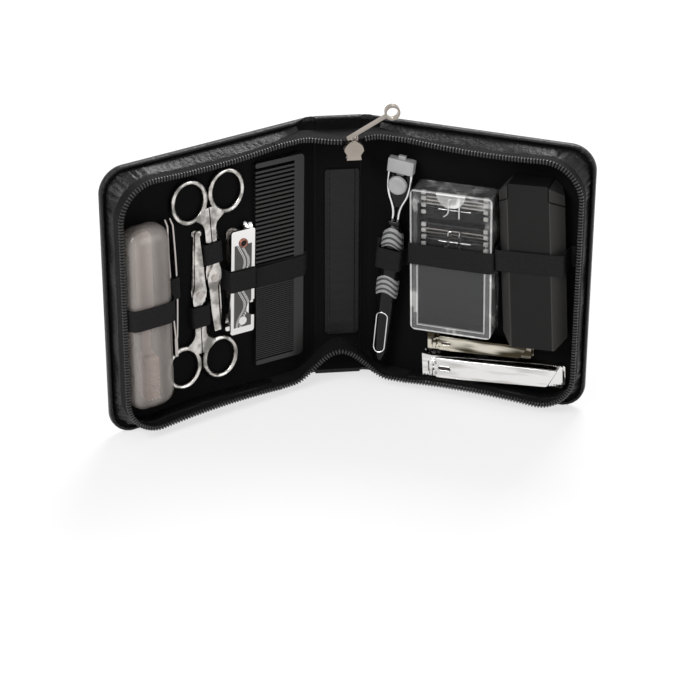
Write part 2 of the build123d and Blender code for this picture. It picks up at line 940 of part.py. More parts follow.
with BuildPart() as pocket_knife:
    with BuildSketch(pocket.offset(pocket_scale + pocket_channel - knife_thickness - 0.2)):
        with Locations((0, knife_pivot_y)):
            Circle(knife_width * 0.48)
        Polygon(
            (knife_width * 0.45, knife_pivot_y),
            (knife_width * 0.4, knife_pivot_y - knife_length * 0.5),
            (knife_width * 0.1, knife_pivot_y - knife_length),
            (-knife_width * 0.5, knife_pivot_y - knife_length * 0.86),
            (-knife_width * 0.5, knife_pivot_y),
            align=None,
        )
        with Locations((0, knife_pivot_y)):
            Circle(pocket_rivet + running_fit, mode=Mode.SUBTRACT)
    extrude(amount=knife_thickness)
save(pocket_knife, "pocket_tool_knife")

with BuildPart() as pocket_file:
    with BuildSketch(pocket.offset(pocket_scale + 0.2)):
        with Locations((0, file_pivot_y)):
            Circle(file_width * 0.6)
        with Locations((-1, file_pivot_y + file_length / 2)):
            RectangleRounded(file_width, file_length, file_width * 0.4)
        with Locations((0, file_pivot_y)):
            Circle(pocket_rivet + running_fit, mode=Mode.SUBTRACT)
    extrude(amount=file_thickness)
save(pocket_file, "pocket_tool_file")
left_loops.append(
    elastic_loop(
        pocket, -pocket_width / 2, pocket_width / 2, pocket_depth, pocket_length * 0.42, feet=(1.0, 0)
    )
)

# ---- comb ----
comb_plane = place(left, -comb_x, comb_foot, seat_height, comb_lean)
tooth_reach = comb_width - comb_spine + tooth_root
tooth_x = (tooth_reach - comb_width) / 2
coarse_start = comb_length - comb_end - coarse_pitch
fine_start = comb_end + fine_pitch

with BuildPart() as comb:
    with BuildSketch(comb_plane):
        with Locations(((comb_width - comb_spine) / 2, comb_length / 2)):
            RectangleRounded(comb_spine, comb_length, comb_spine * 0.45)
        for y in (comb_end / 2, comb_length - comb_end / 2):
            with Locations((-comb_spine * 0.2, y)):
                RectangleRounded(comb_width - comb_spine * 0.4, comb_end, comb_end * 0.4)
        for index in range(coarse_teeth):
            with Locations((tooth_x, coarse_start - index * coarse_pitch)):
                Rectangle(tooth_reach, coarse_tooth)
        for index in range(fine_teeth):
            with Locations((tooth_x, fine_start + index * fine_pitch)):
                Rectangle(tooth_reach, fine_tooth)
    extrude(amount=comb_thickness)
    with BuildSketch(across(comb_plane, comb_length)):
        Polygon(
            (-comb_width / 2 - 1, comb_thickness / 2 - comb_tip_thickness / 2),
            (comb_width / 2 - comb_spine, 0),
            (comb_width / 2 + 1, 0),
            (comb_width / 2 + 1, comb_thickness),
            (comb_width / 2 - comb_spine, comb_thickness),
            (-comb_width / 2 - 1, comb_thickness / 2 + comb_tip_thickness / 2),
            align=None,
        )
    extrude(amount=comb_length, mode=Mode.INTERSECT)
save(comb, "comb")
left_loops.append(
    elastic_loop(
        comb_plane,
        -comb_width / 2,
        comb_width / 2,
        comb_thickness,
        comb_length * 0.4,
        feet=(0, band_foot),
    )
)

# ---- razor without a cartridge ----
razor = place(right, razor_x, razor_foot, seat_height + razor_grip_swell, razor_lean)


def razor_body(swell):
    """Handle of the razor, swollen by swell all round."""
    sections = ((0, 0.5, 0.55), (0.06, 0.8, 0.78), (0.45, 0.96, 0.95), (0.8, 1.0, 1.0), (1.0, 0.56, 0.6))
    with BuildPart() as body:
        for share, width, depth in sections:
            with BuildSketch(across(razor, share * razor_handle_length)):
                with Locations((0, razor_depth * 0.5)):
                    Ellipse(razor_width * width / 2 + swell, razor_depth * depth / 2 + swell)
        loft()
    return body.part


with BuildPart() as razor_handle:
    add(razor_body(0))
save(razor_handle, "razor_handle")

with BuildPart() as razor_grips:
    for start in (razor_low_grip, razor_high_grip):
        with BuildSketch(across(razor, start + razor_grip_length)):
            with Locations((0, razor_depth / 2)):
                Rectangle(razor_width * 1.4, razor_depth * 1.4)
        extrude(amount=razor_grip_length)
    add(razor_body(razor_grip_swell), mode=Mode.INTERSECT)
    add(razor_body(0), mode=Mode.SUBTRACT)
save(razor_grips, "razor_grips")

with BuildPart() as razor_badge:
    with BuildSketch(razor.offset(razor_depth / 2)):
        with Locations((0, badge_length * 0.78)):
            SlotOverall(badge_length, badge_width, rotation=90)
    extrude(amount=razor_depth)
    add(razor_body(badge_thickness), mode=Mode.INTERSECT)
    add(razor_body(0), mode=Mode.SUBTRACT)
save(razor_badge, "razor_badge")

neck_level = razor_depth * 0.5
head_foot = razor_handle_length + neck_length
head_face = head_lift + head_depth
plunger_level = head_lift + head_depth / 2
with BuildPart() as razor_neck:
    with BuildSketch(across(razor, razor_handle_length + 2)):
        with Locations((0, neck_level)):
            Ellipse(razor_width * 0.28, razor_depth * 0.3)
    extrude(amount=2)
    for hand in (-1, 1):
        with BuildLine(razor.offset(neck_level)) as rod:
            Polyline(
                (hand * 1.6, razor_handle_length + 1),
                (hand * 2.4, razor_handle_length + neck_length * 0.3),
                (hand * neck_spread, razor_handle_length + neck_length * 0.62),
                (hand * neck_spread, head_foot + 1),
            )
        with BuildSketch(across(razor, razor_handle_length + 1)):
            with Locations((hand * 1.6, neck_level)):
                Circle(neck_rod)
        sweep(path=rod.line, transition=Transition.ROUND)
    with BuildSketch(razor.offset(plunger_level - plunger_depth / 2 - 2)):
        with Locations((0, razor_handle_length + neck_length * 0.76)):
            Rectangle(2 * neck_spread, neck_length * 0.48)
    extrude(amount=1.6)
    with BuildSketch(razor.offset(head_lift)):
        with Locations((0, head_foot + head_length / 2)):
            RectangleRounded(head_width, head_length, 0.6)
    extrude(amount=head_depth)
    with BuildSketch(across(razor, head_foot + head_length + 1)):
        with Locations((0, plunger_level)):
            Rectangle(plunger_width + 4 * running_fit, plunger_depth + 4 * running_fit)
    extrude(amount=head_length + 2, mode=Mode.SUBTRACT)
save(razor_neck, "razor_neck")

button_y = head_foot - button_radius - button_travel * 0.4
button_level = head_face + 3 * running_fit
with BuildPart() as razor_button:
    with BuildSketch(razor.offset(button_level)):
        with Locations((0, button_y)):
            Circle(button_radius)
    extrude(amount=button_thickness)
save(razor_button, "razor_button")

plunger_low = plunger_level - plunger_depth / 2
with BuildPart() as razor_plunger:
    with BuildSketch(across(razor, head_foot + head_length + nub_length)):
        with Locations((0, plunger_level)):
            Rectangle(plunger_width, plunger_depth)
    extrude(amount=head_length + nub_length + button_radius * 2)
    with BuildSketch(razor.offset(plunger_low + plunger_depth)):
        with Locations((0, button_y)):
            Rectangle(plunger_width, plunger_width)
    extrude(amount=button_level - plunger_low - plunger_depth)
save(razor_plunger, "razor_plunger")
right_loops.append(
    elastic_loop(
        razor,
        -razor_width / 2,
        razor_width / 2,
        razor_depth,
        razor_high_grip - band_width - 0.5,
    )
)

# ---- blade dispenser: tray, clear cover and two cartridges ----
dispenser = place(right, dispenser_x, dispenser_foot, seat_height, dispenser_lean)
inner_width = dispenser_width - 2 * dispenser_wall - 4 * running_fit
inner_length = dispenser_length - dispenser_wall - 2 * running_fit
front_height = dispenser_depth - dispenser_wall

with BuildPart() as dispenser_cover:
    with BuildSketch(dispenser):
        with Locations((0, dispenser_length / 2)):
            RectangleRounded(dispenser_width, dispenser_length, dispenser_corner)
    extrude(amount=dispenser_depth)
    with BuildSketch(dispenser):
        with Locations((0, (dispenser_length - dispenser_wall) / 2 - 1)):
            Rectangle(dispenser_width - 2 * dispenser_wall, dispenser_length - dispenser_wall + 2)
    extrude(amount=front_height, mode=Mode.SUBTRACT)
    with BuildSketch(dispenser.offset(dispenser_depth)):
        with Locations((0, dispenser_length)):
            Circle(dispenser_tab)
        with Locations((0, dispenser_length + dispenser_tab)):
            Rectangle(4 * dispenser_tab, 2 * dispenser_tab, mode=Mode.SUBTRACT)
    extrude(amount=0.6)
save(dispenser_cover, "dispenser_cover")

with BuildPart() as dispenser_tray:
    with BuildSketch(dispenser):
        with Locations((0, inner_length / 2)):
            Rectangle(inner_width, inner_length)
    extrude(amount=dispenser_wall)
    with BuildSketch(dispenser.offset(dispenser_wall)):
        with Locations((0, dispenser_wall / 2)):
            Rectangle(inner_width, dispenser_wall)
        with Locations((0, inner_length * 0.49)):
            Rectangle(inner_width, dispenser_wall)
    extrude(amount=front_height - 2 * dispenser_wall)
    with BuildSketch(dispenser.offset(dispenser_wall)):
        for side in (-1, 1):
            with Locations((side * (inner_width - dispenser_wall) / 2, inner_length * 0.745)):
                Rectangle(dispenser_wall, inner_length * 0.49)
    extrude(amount=front_height - 2.5 * dispenser_wall)
save(dispenser_tray, "dispenser_tray")

cartridge_level = dispenser_wall
cartridge_rows = [inner_length - cartridge_pitch * (index + 0.5) - 0.6 for index in range(2)]
with BuildPart() as cartridge_frames:
    for y in cartridge_rows:
        with BuildSketch(dispenser.offset(cartridge_level)):
            with Locations((0, y)):
                Rectangle(cartridge_width, cartridge_height)
                with Locations((0, cartridge_height * 0.18)):
                    Rectangle(
                        cartridge_width - 6, cartridge_height * 0.52, mode=Mode.SUBTRACT
                    )
        extrude(amount=cartridge_depth)
        with BuildSketch(dispenser.offset(cartridge_level)):
            with Locations((0, y + cartridge_height * 0.18)):
                Rectangle(cartridge_width - 6, cartridge_height * 0.52)
        extrude(amount=cartridge_depth * 0.5)
        with BuildSketch(dispenser.offset(cartridge_level + cartridge_depth)):
            with Locations((-3, y - cartridge_height * 0.1), (3, y - cartridge_height * 0.1)):
                Rectangle(1.6, cartridge_height * 0.7)
        extrude(amount=1.6)
save(cartridge_frames, "cartridge_frames")

with BuildPart() as cartridge_blades:
    for y in cartridge_rows:
        with BuildSketch(dispenser.offset(cartridge_level + cartridge_depth * 0.5)):
            for index in range(blade_count):
                with Locations((0, y + cartridge_height * 0.03 + index * 2.4 * blade_strip)):
                    Rectangle(cartridge_width - 6.4, blade_strip)
        extrude(amount=cartridge_depth * 0.35)
save(cartridge_blades, "cartridge_blades")
right_loops.append(
    elastic_loop(
        dispenser,
        -dispenser_width / 2,
        dispenser_width / 2,
        dispenser_depth,
        dispenser_length * 0.48,
        feet=(band_foot, 0),
    )
)

# ---- slim pull-off case ----
slim = place(right, slim_x, slim_foot, seat_height, slim_lean)


def slim_shell(inset, low, high):
    """Stretch of the slim case's bevelled body between two heights, drawn in by an inset."""
    half = slim_width / 2 - inset
    face = slim_face / 2 - inset * 0.4
    with BuildPart() as body:
        with BuildSketch(across(slim, high)):
            Polygon(
                (-half + 3, inset),
                (half - 3, inset),
                (half, slim_depth * 0.45),
                (face, slim_depth - inset),
                (-face, slim_depth - inset),
                (-half, slim_depth * 0.45),
                align=None,
            )
        extrude(amount=high - low)
    return body.part


slim_seam = slim_length - slim_cap_length
with BuildPart() as slim_case_body:
    add(slim_shell(0, 0, slim_seam))
    with BuildSketch(slim):
        for side in (-1, 1):
            with Locations((side * slim_width / 2, 0)):
                Rectangle(slim_corner, slim_corner, rotation=45)
    extrude(amount=slim_depth, mode=Mode.SUBTRACT)
    add(slim_shell(slim_wall + running_fit, slim_seam - 1, slim_seam + slim_collar))
    add(slim_shell(2 * slim_wall, slim_wall + slim_corner, slim_seam + slim_collar + 1), mode=Mode.SUBTRACT)
save(slim_case_body, "slim_case_body")

with BuildPart() as slim_case_cap:
    add(slim_shell(0, slim_seam + 0.01, slim_length))
    with BuildSketch(slim):
        for side in (-1, 1):
            with Locations((side * slim_width / 2, slim_length)):
                Rectangle(slim_corner * 1.4, slim_corner * 1.4, rotation=45)
    extrude(amount=slim_depth, mode=Mode.SUBTRACT)
    add(slim_shell(slim_wall, slim_seam - 1, slim_seam + slim_collar + 1), mode=Mode.SUBTRACT)
save(slim_case_cap, "slim_case_cap")
right_loops.append(
    elastic_loop(
        slim,
        -slim_width / 2,
        slim_width / 2,
        slim_depth,
        slim_length * 0.47,
        feet=(0, band_foot),
    )
)


# ---- nail clippers ----
def leaf_plan(length, width):
    """Outline of a leaf of a clipper: flared at the jaw, then nearly parallel."""
    with BuildSketch() as plan:
        Polygon(
            (0, -width / 2),
            (width * 0.35, -width * 0.45),
            (length - 2, -width * 0.46),
            (length, -width * 0.36),
            (length, width * 0.36),
            (length - 2, width * 0.46),
            (width * 0.35, width * 0.45),
            (0, width / 2),
            align=None,
        )
    return plan.sketch


def lever_plan(length, width, pin_x):
    """Outline of the lever: narrow at its barrel, then tapering to a slanted end."""
    with BuildSketch() as plan:
        Polygon(
            (pin_x, -width * 0.3),
            (pin_x + width * 0.2, -width * 0.43),
            (length * 0.89, -width * 0.36),
            (length * 0.965, width * 0.36),
            (pin_x + width * 0.2, width * 0.43),
            (pin_x, width * 0.3),
            align=None,
        )
    return plan.sketch


clippers = (
    (
        "large",
        large_clipper_x,
        large_clipper_z,
        large_clipper_lean,
        large_clipper_length,
        large_clipper_width,
    ),
    (
        "small",
        small_clipper_x,
        small_clipper_z,
        small_clipper_lean,
        small_clipper_length,
        small_clipper_width,
    ),
)
for name, x, z, lean, length, width in clippers:
    jaws = place(right, x, z, seat_height, lean)
    mouth = length * 0.06
    open_height = length * 0.05 + leaf_thickness
    rear = length * (1 - leaf_rear_share)
    pin_x = length * 0.055 + 1.2
    gap_height = leaf_thickness + 0.9
    upper_rear = gap_height + leaf_thickness
    upper_front = open_height + 2 * leaf_thickness
    lever_foot = upper_front + 0.3
    lever_rear = upper_rear + lever_rear_gap
    bar_height = lever_foot + barrel_radius
    pin_top = bar_height + pin_head
    lip_height = (open_height + leaf_thickness - jaw_gap) / 2

    with BuildPart() as lower_leaf:
        with BuildSketch(across(jaws, width / 2)):
            Polygon(
                (0, 0),
                (length, 0),
                (length, leaf_thickness),
                (length - 1, leaf_thickness),
                (length - 1, gap_height),
                (rear, gap_height),
                (rear, leaf_thickness),
                (2.2, leaf_thickness),
                (0.9, lip_height),
                (0.3, lip_height),
                (0, leaf_thickness),
                align=None,
            )
        extrude(amount=width)
        with BuildSketch(jaws):
            add(leaf_plan(length, width))
            with Locations((pin_x, 0)):
                Circle(pin_radius + pin_clearance, mode=Mode.SUBTRACT)
        extrude(amount=pin_top, mode=Mode.INTERSECT)
    save(lower_leaf, f"{name}_clipper_lower_leaf")

    with BuildPart() as upper_leaf:
        with BuildSketch(across(jaws, width / 2)):
            Polygon(
                (rear + 1, gap_height + 0.02),
                (length - 1, gap_height + 0.02),
                (length - 1, upper_rear),
                (rear, upper_rear),
                (mouth, upper_front),
                (0, upper_front),
                (0.3, lip_height + jaw_gap),
                (0.9, lip_height + jaw_gap),
                (2.4, upper_front - leaf_thickness),
                (mouth, upper_front - leaf_thickness),
                align=None,
            )
        extrude(amount=width)
        with BuildSketch(jaws):
            add(leaf_plan(length, width))
            with Locations((pin_x, 0)):
                Circle(pin_radius + 1.6 * pin_clearance, mode=Mode.SUBTRACT)
        extrude(amount=pin_top, mode=Mode.INTERSECT)
    save(upper_leaf, f"{name}_clipper_upper_leaf")

    with BuildPart() as pin:
        with BuildSketch(jaws.offset(-seat / 2)):
            with Locations((pin_x, 0)):
                Circle(pin_radius * 1.5)
        extrude(amount=seat / 2 - 0.02)
        with BuildSketch(jaws.offset(-seat / 2)):
            with Locations((pin_x, 0)):
                Circle(pin_radius)
        extrude(amount=pin_top + seat / 2)
        with BuildSketch(across(jaws, width)):
            with Locations((pin_x, bar_height)):
                Circle(cross_bar_radius + running_fit)
        extrude(amount=2 * width, mode=Mode.SUBTRACT)
    save(pin, f"{name}_clipper_pin")

    with BuildPart() as lever:
        with BuildSketch(across(jaws, width / 2)):
            Polygon(
                (pin_x, lever_foot),
                (length * 0.3, lever_foot),
                (length * 0.97, lever_rear),
                (length * 0.97, lever_rear + lever_thickness),
                (length * 0.3, lever_foot + lever_thickness),
                (pin_x, lever_foot + lever_thickness),
                align=None,
            )
        extrude(amount=width)
        with BuildSketch(jaws):
            add(lever_plan(length, width, pin_x))
        extrude(amount=pin_top, mode=Mode.INTERSECT)
        with BuildSketch(across(jaws, width * 0.3)):
            with Locations((pin_x, bar_height)):
                Circle(barrel_radius)
        extrude(amount=width * 0.6)
        with BuildSketch(jaws):
            with Locations((pin_x, 0)):
                Rectangle(2 * fork_reach, 2 * pin_radius + 4 * pin_clearance)
            with Locations((pin_x + fork_reach + length * 0.065, 0)):
                SlotOverall(length * 0.095, width * 0.17)
        extrude(amount=pin_top + barrel_radius, mode=Mode.SUBTRACT)
        with BuildSketch(across(jaws, width * 0.2)):
            with Locations((pin_x, bar_height)):
                Circle(cross_bar_radius)
        extrude(amount=width * 0.4)
    save(lever, f"{name}_clipper_lever")
    turned = place(jaws, length * 0.45, 0, 0, 90)
    right_loops.append(
        elastic_loop(
            turned, -width / 2, width / 2, leaf_thickness, 0, feet=(0, 0), width=band_width / 2
        )
    )

with BuildPart() as left_elastic_loops:
    for strap in left_loops:
        add(strap)
save(left_elastic_loops, "left_elastic_loops")

with BuildPart() as right_elastic_loops:
    for strap in right_loops:
        add(strap)
save(right_elastic_loops, "right_elastic_loops")
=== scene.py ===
import math

import bpy
import numpy as np
from mathutils import Euler, Matrix, Vector

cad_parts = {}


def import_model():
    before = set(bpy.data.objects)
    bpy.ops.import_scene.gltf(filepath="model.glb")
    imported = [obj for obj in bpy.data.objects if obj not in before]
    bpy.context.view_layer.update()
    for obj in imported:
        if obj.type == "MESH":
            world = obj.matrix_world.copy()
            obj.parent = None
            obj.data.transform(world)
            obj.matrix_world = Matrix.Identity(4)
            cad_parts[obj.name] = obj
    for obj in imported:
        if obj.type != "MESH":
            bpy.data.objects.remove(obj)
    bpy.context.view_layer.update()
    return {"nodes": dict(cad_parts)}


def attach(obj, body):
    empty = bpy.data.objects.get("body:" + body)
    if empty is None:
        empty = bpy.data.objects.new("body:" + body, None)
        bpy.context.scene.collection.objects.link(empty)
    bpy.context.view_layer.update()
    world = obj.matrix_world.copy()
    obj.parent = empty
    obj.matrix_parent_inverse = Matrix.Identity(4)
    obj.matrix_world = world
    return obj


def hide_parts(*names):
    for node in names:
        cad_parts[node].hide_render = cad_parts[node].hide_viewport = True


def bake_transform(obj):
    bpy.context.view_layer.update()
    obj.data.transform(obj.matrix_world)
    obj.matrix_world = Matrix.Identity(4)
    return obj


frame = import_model()

# ---- Camera ----
# It stands where the photographer stood: above the open case, a little to its left,
# on a long lens, with the middle of the picture between the two covers.
picture_width = 700
focal_length_in_pixels = 2608
sensor_width = 36
camera_place = (-0.1501, -1.3412, 0.7577)
camera_pitch, camera_yaw, camera_roll = (math.radians(angle) for angle in (28.843, 6.704, 0.233))

camera_data = bpy.data.cameras.new("camera")
camera_data.sensor_width = sensor_width
camera_data.lens = focal_length_in_pixels / picture_width * sensor_width
camera = bpy.data.objects.new("camera", camera_data)
bpy.context.scene.collection.objects.link(camera)
turn = Euler((math.pi / 2 - camera_pitch, 0, -camera_yaw)).to_matrix() @ Matrix.Rotation(camera_roll, 3, "Z")
camera.rotation_euler = turn.to_euler()
camera.location = camera_place
bpy.context.scene.camera = camera

# ---- Covers: leatherette ----
# Two stiff panels wrapped in glossy black leatherette. The edge is turned over the board
# and stands proud of the lining as a soft bead, gathered in pleats at the outer corners.
# Lengths are in millimetres on the panel: x from the fold, y up, height off the outer face.
MM = 0.001
case_height, spine_width, cover_width = 165.0, 34.3, 134.2
panel_thickness, bead_height, crease = 3.2, 4.2, 4.2
cover_corner, turned_edge = 15.0, 2.4
left_fold, right_fold = 26.5, 25.6


def panel_place(fold_x, angle):
    """Origin and three directions of a panel's outer face, turned about its upright fold."""
    c, s = math.cos(math.radians(angle)), math.sin(math.radians(angle))
    return np.array([[fold_x, panel_thickness / 2, 0], [c, -s, 0], [0, 0, 1], [-s, -c, 0]])


def shift(place, x, y, height=0.0, lean=0.0):
    """The same place moved along its own directions and turned about its normal."""
    c, s = math.cos(math.radians(lean)), math.sin(math.radians(lean))
    origin = place[0] + x * place[1] + y * place[2] + height * place[3]
    return np.array([origin, place[1] * c + place[2] * s, place[2] * c - place[1] * s, place[3]])


def world(place, local):
    """Points of a place, last axis (x, y, height) in millimetres, as points of the scene."""
    return (place[0] + np.asarray(local, float) @ place[1:]) * MM


spine = panel_place(0, 0)
left = panel_place(-spine_width / 2, -left_fold)
right = panel_place(spine_width / 2, right_fold)
covers = (("left", left, -1), ("right", right, 1))


class Shade:
    """A socket in a material. Arithmetic on it adds Math nodes; make() adds any other node."""

    def __init__(self, tree, socket):
        self.tree = tree
        self.socket = socket

    def make(self, kind, settings, inputs, output=0):
        node = self.tree.nodes.new("ShaderNode" + kind)
        for key, value in settings.items():
            if key == "stops":
                for stop, (spot, grey) in zip(node.color_ramp.elements, value):
                    stop.position = spot
                    stop.color = (grey, grey, grey, 1)
            else:
                setattr(node, key, value)
        for key, value in inputs.items():
            if isinstance(value, Shade):
                self.tree.links.new(value.socket, node.inputs[key])
            else:
                node.inputs[key].default_value = value
        return Shade(self.tree, node.outputs[output])

    def maths(self, operation, *others):
        inputs = {number: value for number, value in enumerate((self,) + others)}
        return self.make("Math", {"operation": operation}, inputs)

    def __add__(self, other):
        return self.maths("ADD", other)

    __radd__ = __add__

    def __mul__(self, other):
        return self.maths("MULTIPLY", other)

    __rmul__ = __mul__

    def __sub__(self, other):
        return self.maths("SUBTRACT", other)

    def __rsub__(self, other):
        return self.maths("MULTIPLY", -1.0) + other

    def between(self, low, high):
        """0 below low, 1 above high, and a smooth step between."""
        inputs = {"Value": self, "From Min": low, "From Max": high}
        return self.make("MapRange", {"interpolation_type": "SMOOTHSTEP"}, inputs)

    def wave(self, pitch):
        """Sine of this length with the given pitch, from 0 to 1."""
        return (self * (2 * math.pi / pitch)).maths("SINE") * 0.5 + 0.5

    def noise(self, scale, detail=3.0, rough=0.55):
        return self.make(
            "TexNoise", {}, {"Vector": self, "Scale": scale, "Detail": detail, "Roughness": rough}
        )

    def cells(self, scale, feature="F1"):
        """Distance to the nearest cell point, or to the nearest cell edge."""
        return self.make("TexVoronoi", {"feature": feature}, {"Vector": self, "Scale": scale})

    def axis(self, number):
        """Coordinate 0, 1 or 2 of this vector."""
        return self.make("SeparateXYZ", {}, {"Vector": self}, number)

    def tint(self, low, high):
        """Colour that goes from low to high as this value goes from 0 to 1."""
        factor, colour_a, colour_b, colour_out = 0, 6, 7, 2
        inputs = {factor: self, colour_a: (*low, 1), colour_b: (*high, 1)}
        return self.make("Mix", {"data_type": "RGBA"}, inputs, colour_out)

    def bump(self, distance, strength=1.0, under=None):
        """Normal raised by this value times a distance in metres."""
        inputs = {"Height": self, "Distance": distance, "Strength": strength}
        if under is not None:
            inputs["Normal"] = under
        return self.make("Bump", {}, inputs)


def finish(name, pattern, **plain):
    """Material with plain shader values, and a pattern that makes the rest from the coordinates."""
    material = bpy.data.materials.new(name)
    material.use_nodes = True
    tree = material.node_tree
    shader = tree.nodes["Principled BSDF"]
    for key, value in plain.items():
        shader.inputs[key.replace("_", " ")].default_value = value
    place = tree.nodes.new("ShaderNodeTexCoord")
    made = pattern(Shade(tree, place.outputs["Object"]), Shade(tree, place.outputs["UV"]))
    for key, value in made.items():
        if isinstance(value, Shade):
            tree.links.new(value.socket, shader.inputs[key])
        else:
            shader.inputs[key].default_value = value
    return material


def leather_pattern(at, uv):
    """Fine rounded grain with hairline valleys, slow swells under it, and rubbed shiny patches."""
    grain = at.cells(1150.0)
    valleys = at.cells(620.0, "DISTANCE_TO_EDGE").between(0.0, 0.12)
    swell = at.noise(60.0, 2.0)
    crush = at.noise(420.0, 3.0, 0.6)
    rubbed = at.noise(22.0, 4.0)
    soft = crush.bump(0.0008, 0.85, swell.bump(0.0012, 0.45))
    normal = (valleys * 0.7 - grain * 0.5).bump(0.00013, 0.6, soft)
    colour = rubbed.tint((0.003, 0.003, 0.0033), (0.009, 0.0085, 0.0085))
    return {"Base Color": colour, "Roughness": rubbed * 0.2 + 0.2, "Normal": normal}


leather = finish(
    "black_leatherette", leather_pattern, Coat_Weight=0.04, Coat_Roughness=0.12,
    Specular_IOR_Level=0.22
)


def surface(name, grids, material, sharp=40.0, closed=True):
    """Mesh of one grid of points, or of many of the same size: (grid, row, column, xyz).

    Columns run round and close up, and a fan closes the first and the last row. The faces
    are turned to point outwards by the sign of the volume. The UV map is the length round
    and the length along, in millimetres.
    """
    grids = np.asarray(grids, float)
    grids = grids.reshape((-1,) + grids.shape[-3:])
    count, rows, columns = grids.shape[:3]
    number = np.arange(count * rows * columns).reshape(count, rows, columns)
    last = columns if closed else columns - 1
    here = np.arange(last)
    after = (here + 1) % columns
    corners = [number[:, :-1, here], number[:, :-1, after], number[:, 1:, after], number[:, 1:, here]]
    quads = np.stack(corners, -1).reshape(-1, 4)
    steps = np.linalg.norm(np.roll(grids, -1, axis=2) - grids, axis=-1).mean((0, 1))
    around = np.concatenate([[0], np.cumsum(steps)]) / MM
    climbs = np.linalg.norm(np.diff(grids, axis=1), axis=-1).mean((0, 2))
    along = np.concatenate([[0], np.cumsum(climbs)]) / MM
    u = np.stack([around[here], around[here + 1], around[here + 1], around[here]], -1)
    v = np.stack([along[:-1], along[:-1], along[1:], along[1:]], -1)
    shape = (count, rows - 1, last, 4)
    uv = np.stack([np.broadcast_to(u[None, None], shape), np.broadcast_to(v[None, :, None], shape)], -1)
    points = grids.reshape(-1, 3)
    middles = np.stack([grids[:, 0].mean(1), grids[:, -1].mean(1)], 1).reshape(-1, 3)
    hub = np.arange(2 * count).reshape(count, 2) + len(points)
    low = np.stack([number[:, 0, after], number[:, 0, here], np.repeat(hub[:, :1], last, 1)], -1)
    high = np.stack([number[:, -1, here], number[:, -1, after], np.repeat(hub[:, 1:], last, 1)], -1)
    fans = np.concatenate([low.reshape(-1, 3), high.reshape(-1, 3)])
    points = np.concatenate([points, middles])
    tris = np.concatenate([quads[:, [0, 1, 2]], quads[:, [0, 2, 3]], fans])
    a, b, c = (points[tris[:, k]] for k in range(3))
    if (np.cross(a, b) * c).sum() < 0:
        quads, uv, fans = quads[:, ::-1], uv[..., ::-1, :], fans[:, ::-1]
    fan_u = np.tile(np.stack([around[here], around[here + 1], around[here]], -1).reshape(-1), 2 * count)
    fan_uv = np.stack([fan_u, np.repeat([along[0], along[-1]], 3 * last * count)], -1)
    mesh = bpy.data.meshes.new(name)
    mesh.from_pydata(points.tolist(), [], quads.tolist() + fans.tolist())
    layer = mesh.uv_layers.new(name="lengths")
    layer.data.foreach_set("uv", np.concatenate([uv.reshape(-1), fan_uv.reshape(-1)]).astype(np.float32))
    mesh.polygons.foreach_set("use_smooth", np.ones(len(mesh.polygons), bool))
    mesh.set_sharp_from_angle(angle=math.radians(sharp))
    mesh.materials.append(material)
    piece = bpy.data.objects.new(name, mesh)
    bpy.context.scene.collection.objects.link(piece)
    return piece


def fit(piece, body, slot, *nodes):
    """The piece rides on a body and stands for some nodes, which it hides; the slot is not used."""
    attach(piece, body)
    if nodes:
        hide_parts(*nodes)
    return piece


def smooth_step(value):
    value = np.clip(value, 0, 1)
    return value * value * (3 - 2 * value)


def cover_ring(side, inset):
    """Outline of a cover, drawn in by an inset but not at the fold: edges and two outer arcs."""
    x1, y0, y1 = cover_width - inset, inset, case_height - inset
    r = max(cover_corner - inset, 0.2)
    run, rise = np.linspace(0, 1, 60, endpoint=False), np.linspace(0, 1, 50, endpoint=False)
    arc = np.linspace(0, math.pi / 2, 48, endpoint=False)
    x = [
        crease + run * (x1 - r - crease),
        x1 - r + r * np.sin(arc),
        np.full(50, x1),
        x1 - r + r * np.cos(arc),
        x1 - r - run * (x1 - r - crease),
        np.full(50, crease),
    ]
    y = [
        np.full(60, y0),
        y0 + r - r * np.cos(arc),
        y0 + r + rise * (y1 - y0 - 2 * r),
        y1 - r + r * np.sin(arc),
        np.full(60, y1),
        y1 - rise * (y1 - y0),
    ]
    return np.stack([side * np.concatenate(x), np.concatenate(y)], -1)


def stacked(rings, heights, shares, middle):
    """Grid of outline rings at their heights, with the first one drawn in to the middle."""
    rows = [(rings[0] * share + middle * (1 - share), heights[0]) for share in shares]
    rows += list(zip(rings, heights))
    return np.stack([np.c_[ring, np.broadcast_to(height, len(ring))] for ring, height in rows])


edge_profile = (
    (3.0, 0.0), (1.5, 0.03), (0.7, 0.16), (0.25, 0.5), (0.05, 1.1), (0.0, 1.9), (0.0, 2.8),
    (0.12, 3.5), (0.45, 4.0), (1.0, 4.2), (1.6, 4.1), (2.1, 3.7), (2.35, 3.1), (2.4, 2.5), (2.4, 1.2),
)
centre_shares = (0.02, 0.2, 0.4, 0.6, 0.8, 0.93)
pleat = np.random.default_rng(4)


def corner_pleats(ring):
    """0 on the straight edges and a gathered, uneven ripple on the two outer arcs."""
    total = np.zeros(len(ring))
    for middle_y in (cover_corner, case_height - cover_corner):
        dx = np.abs(ring[:, 0]) - (cover_width - cover_corner)
        dy = (ring[:, 1] - middle_y) * (1 if middle_y > case_height / 2 else -1)
        angle = np.arctan2(dy, dx)
        window = smooth_step((angle + 0.1) / 0.4) * smooth_step((math.pi / 2 + 0.1 - angle) / 0.4)
        inside = (dx > -2) & (dy > -2)
        phase, other = pleat.uniform(0, 6, 2)
        ripple = 0.6 * np.cos(26 * angle + phase) + 0.4 * np.cos(41 * angle + other)
        total += np.where(inside, window * ripple, 0)
    return total


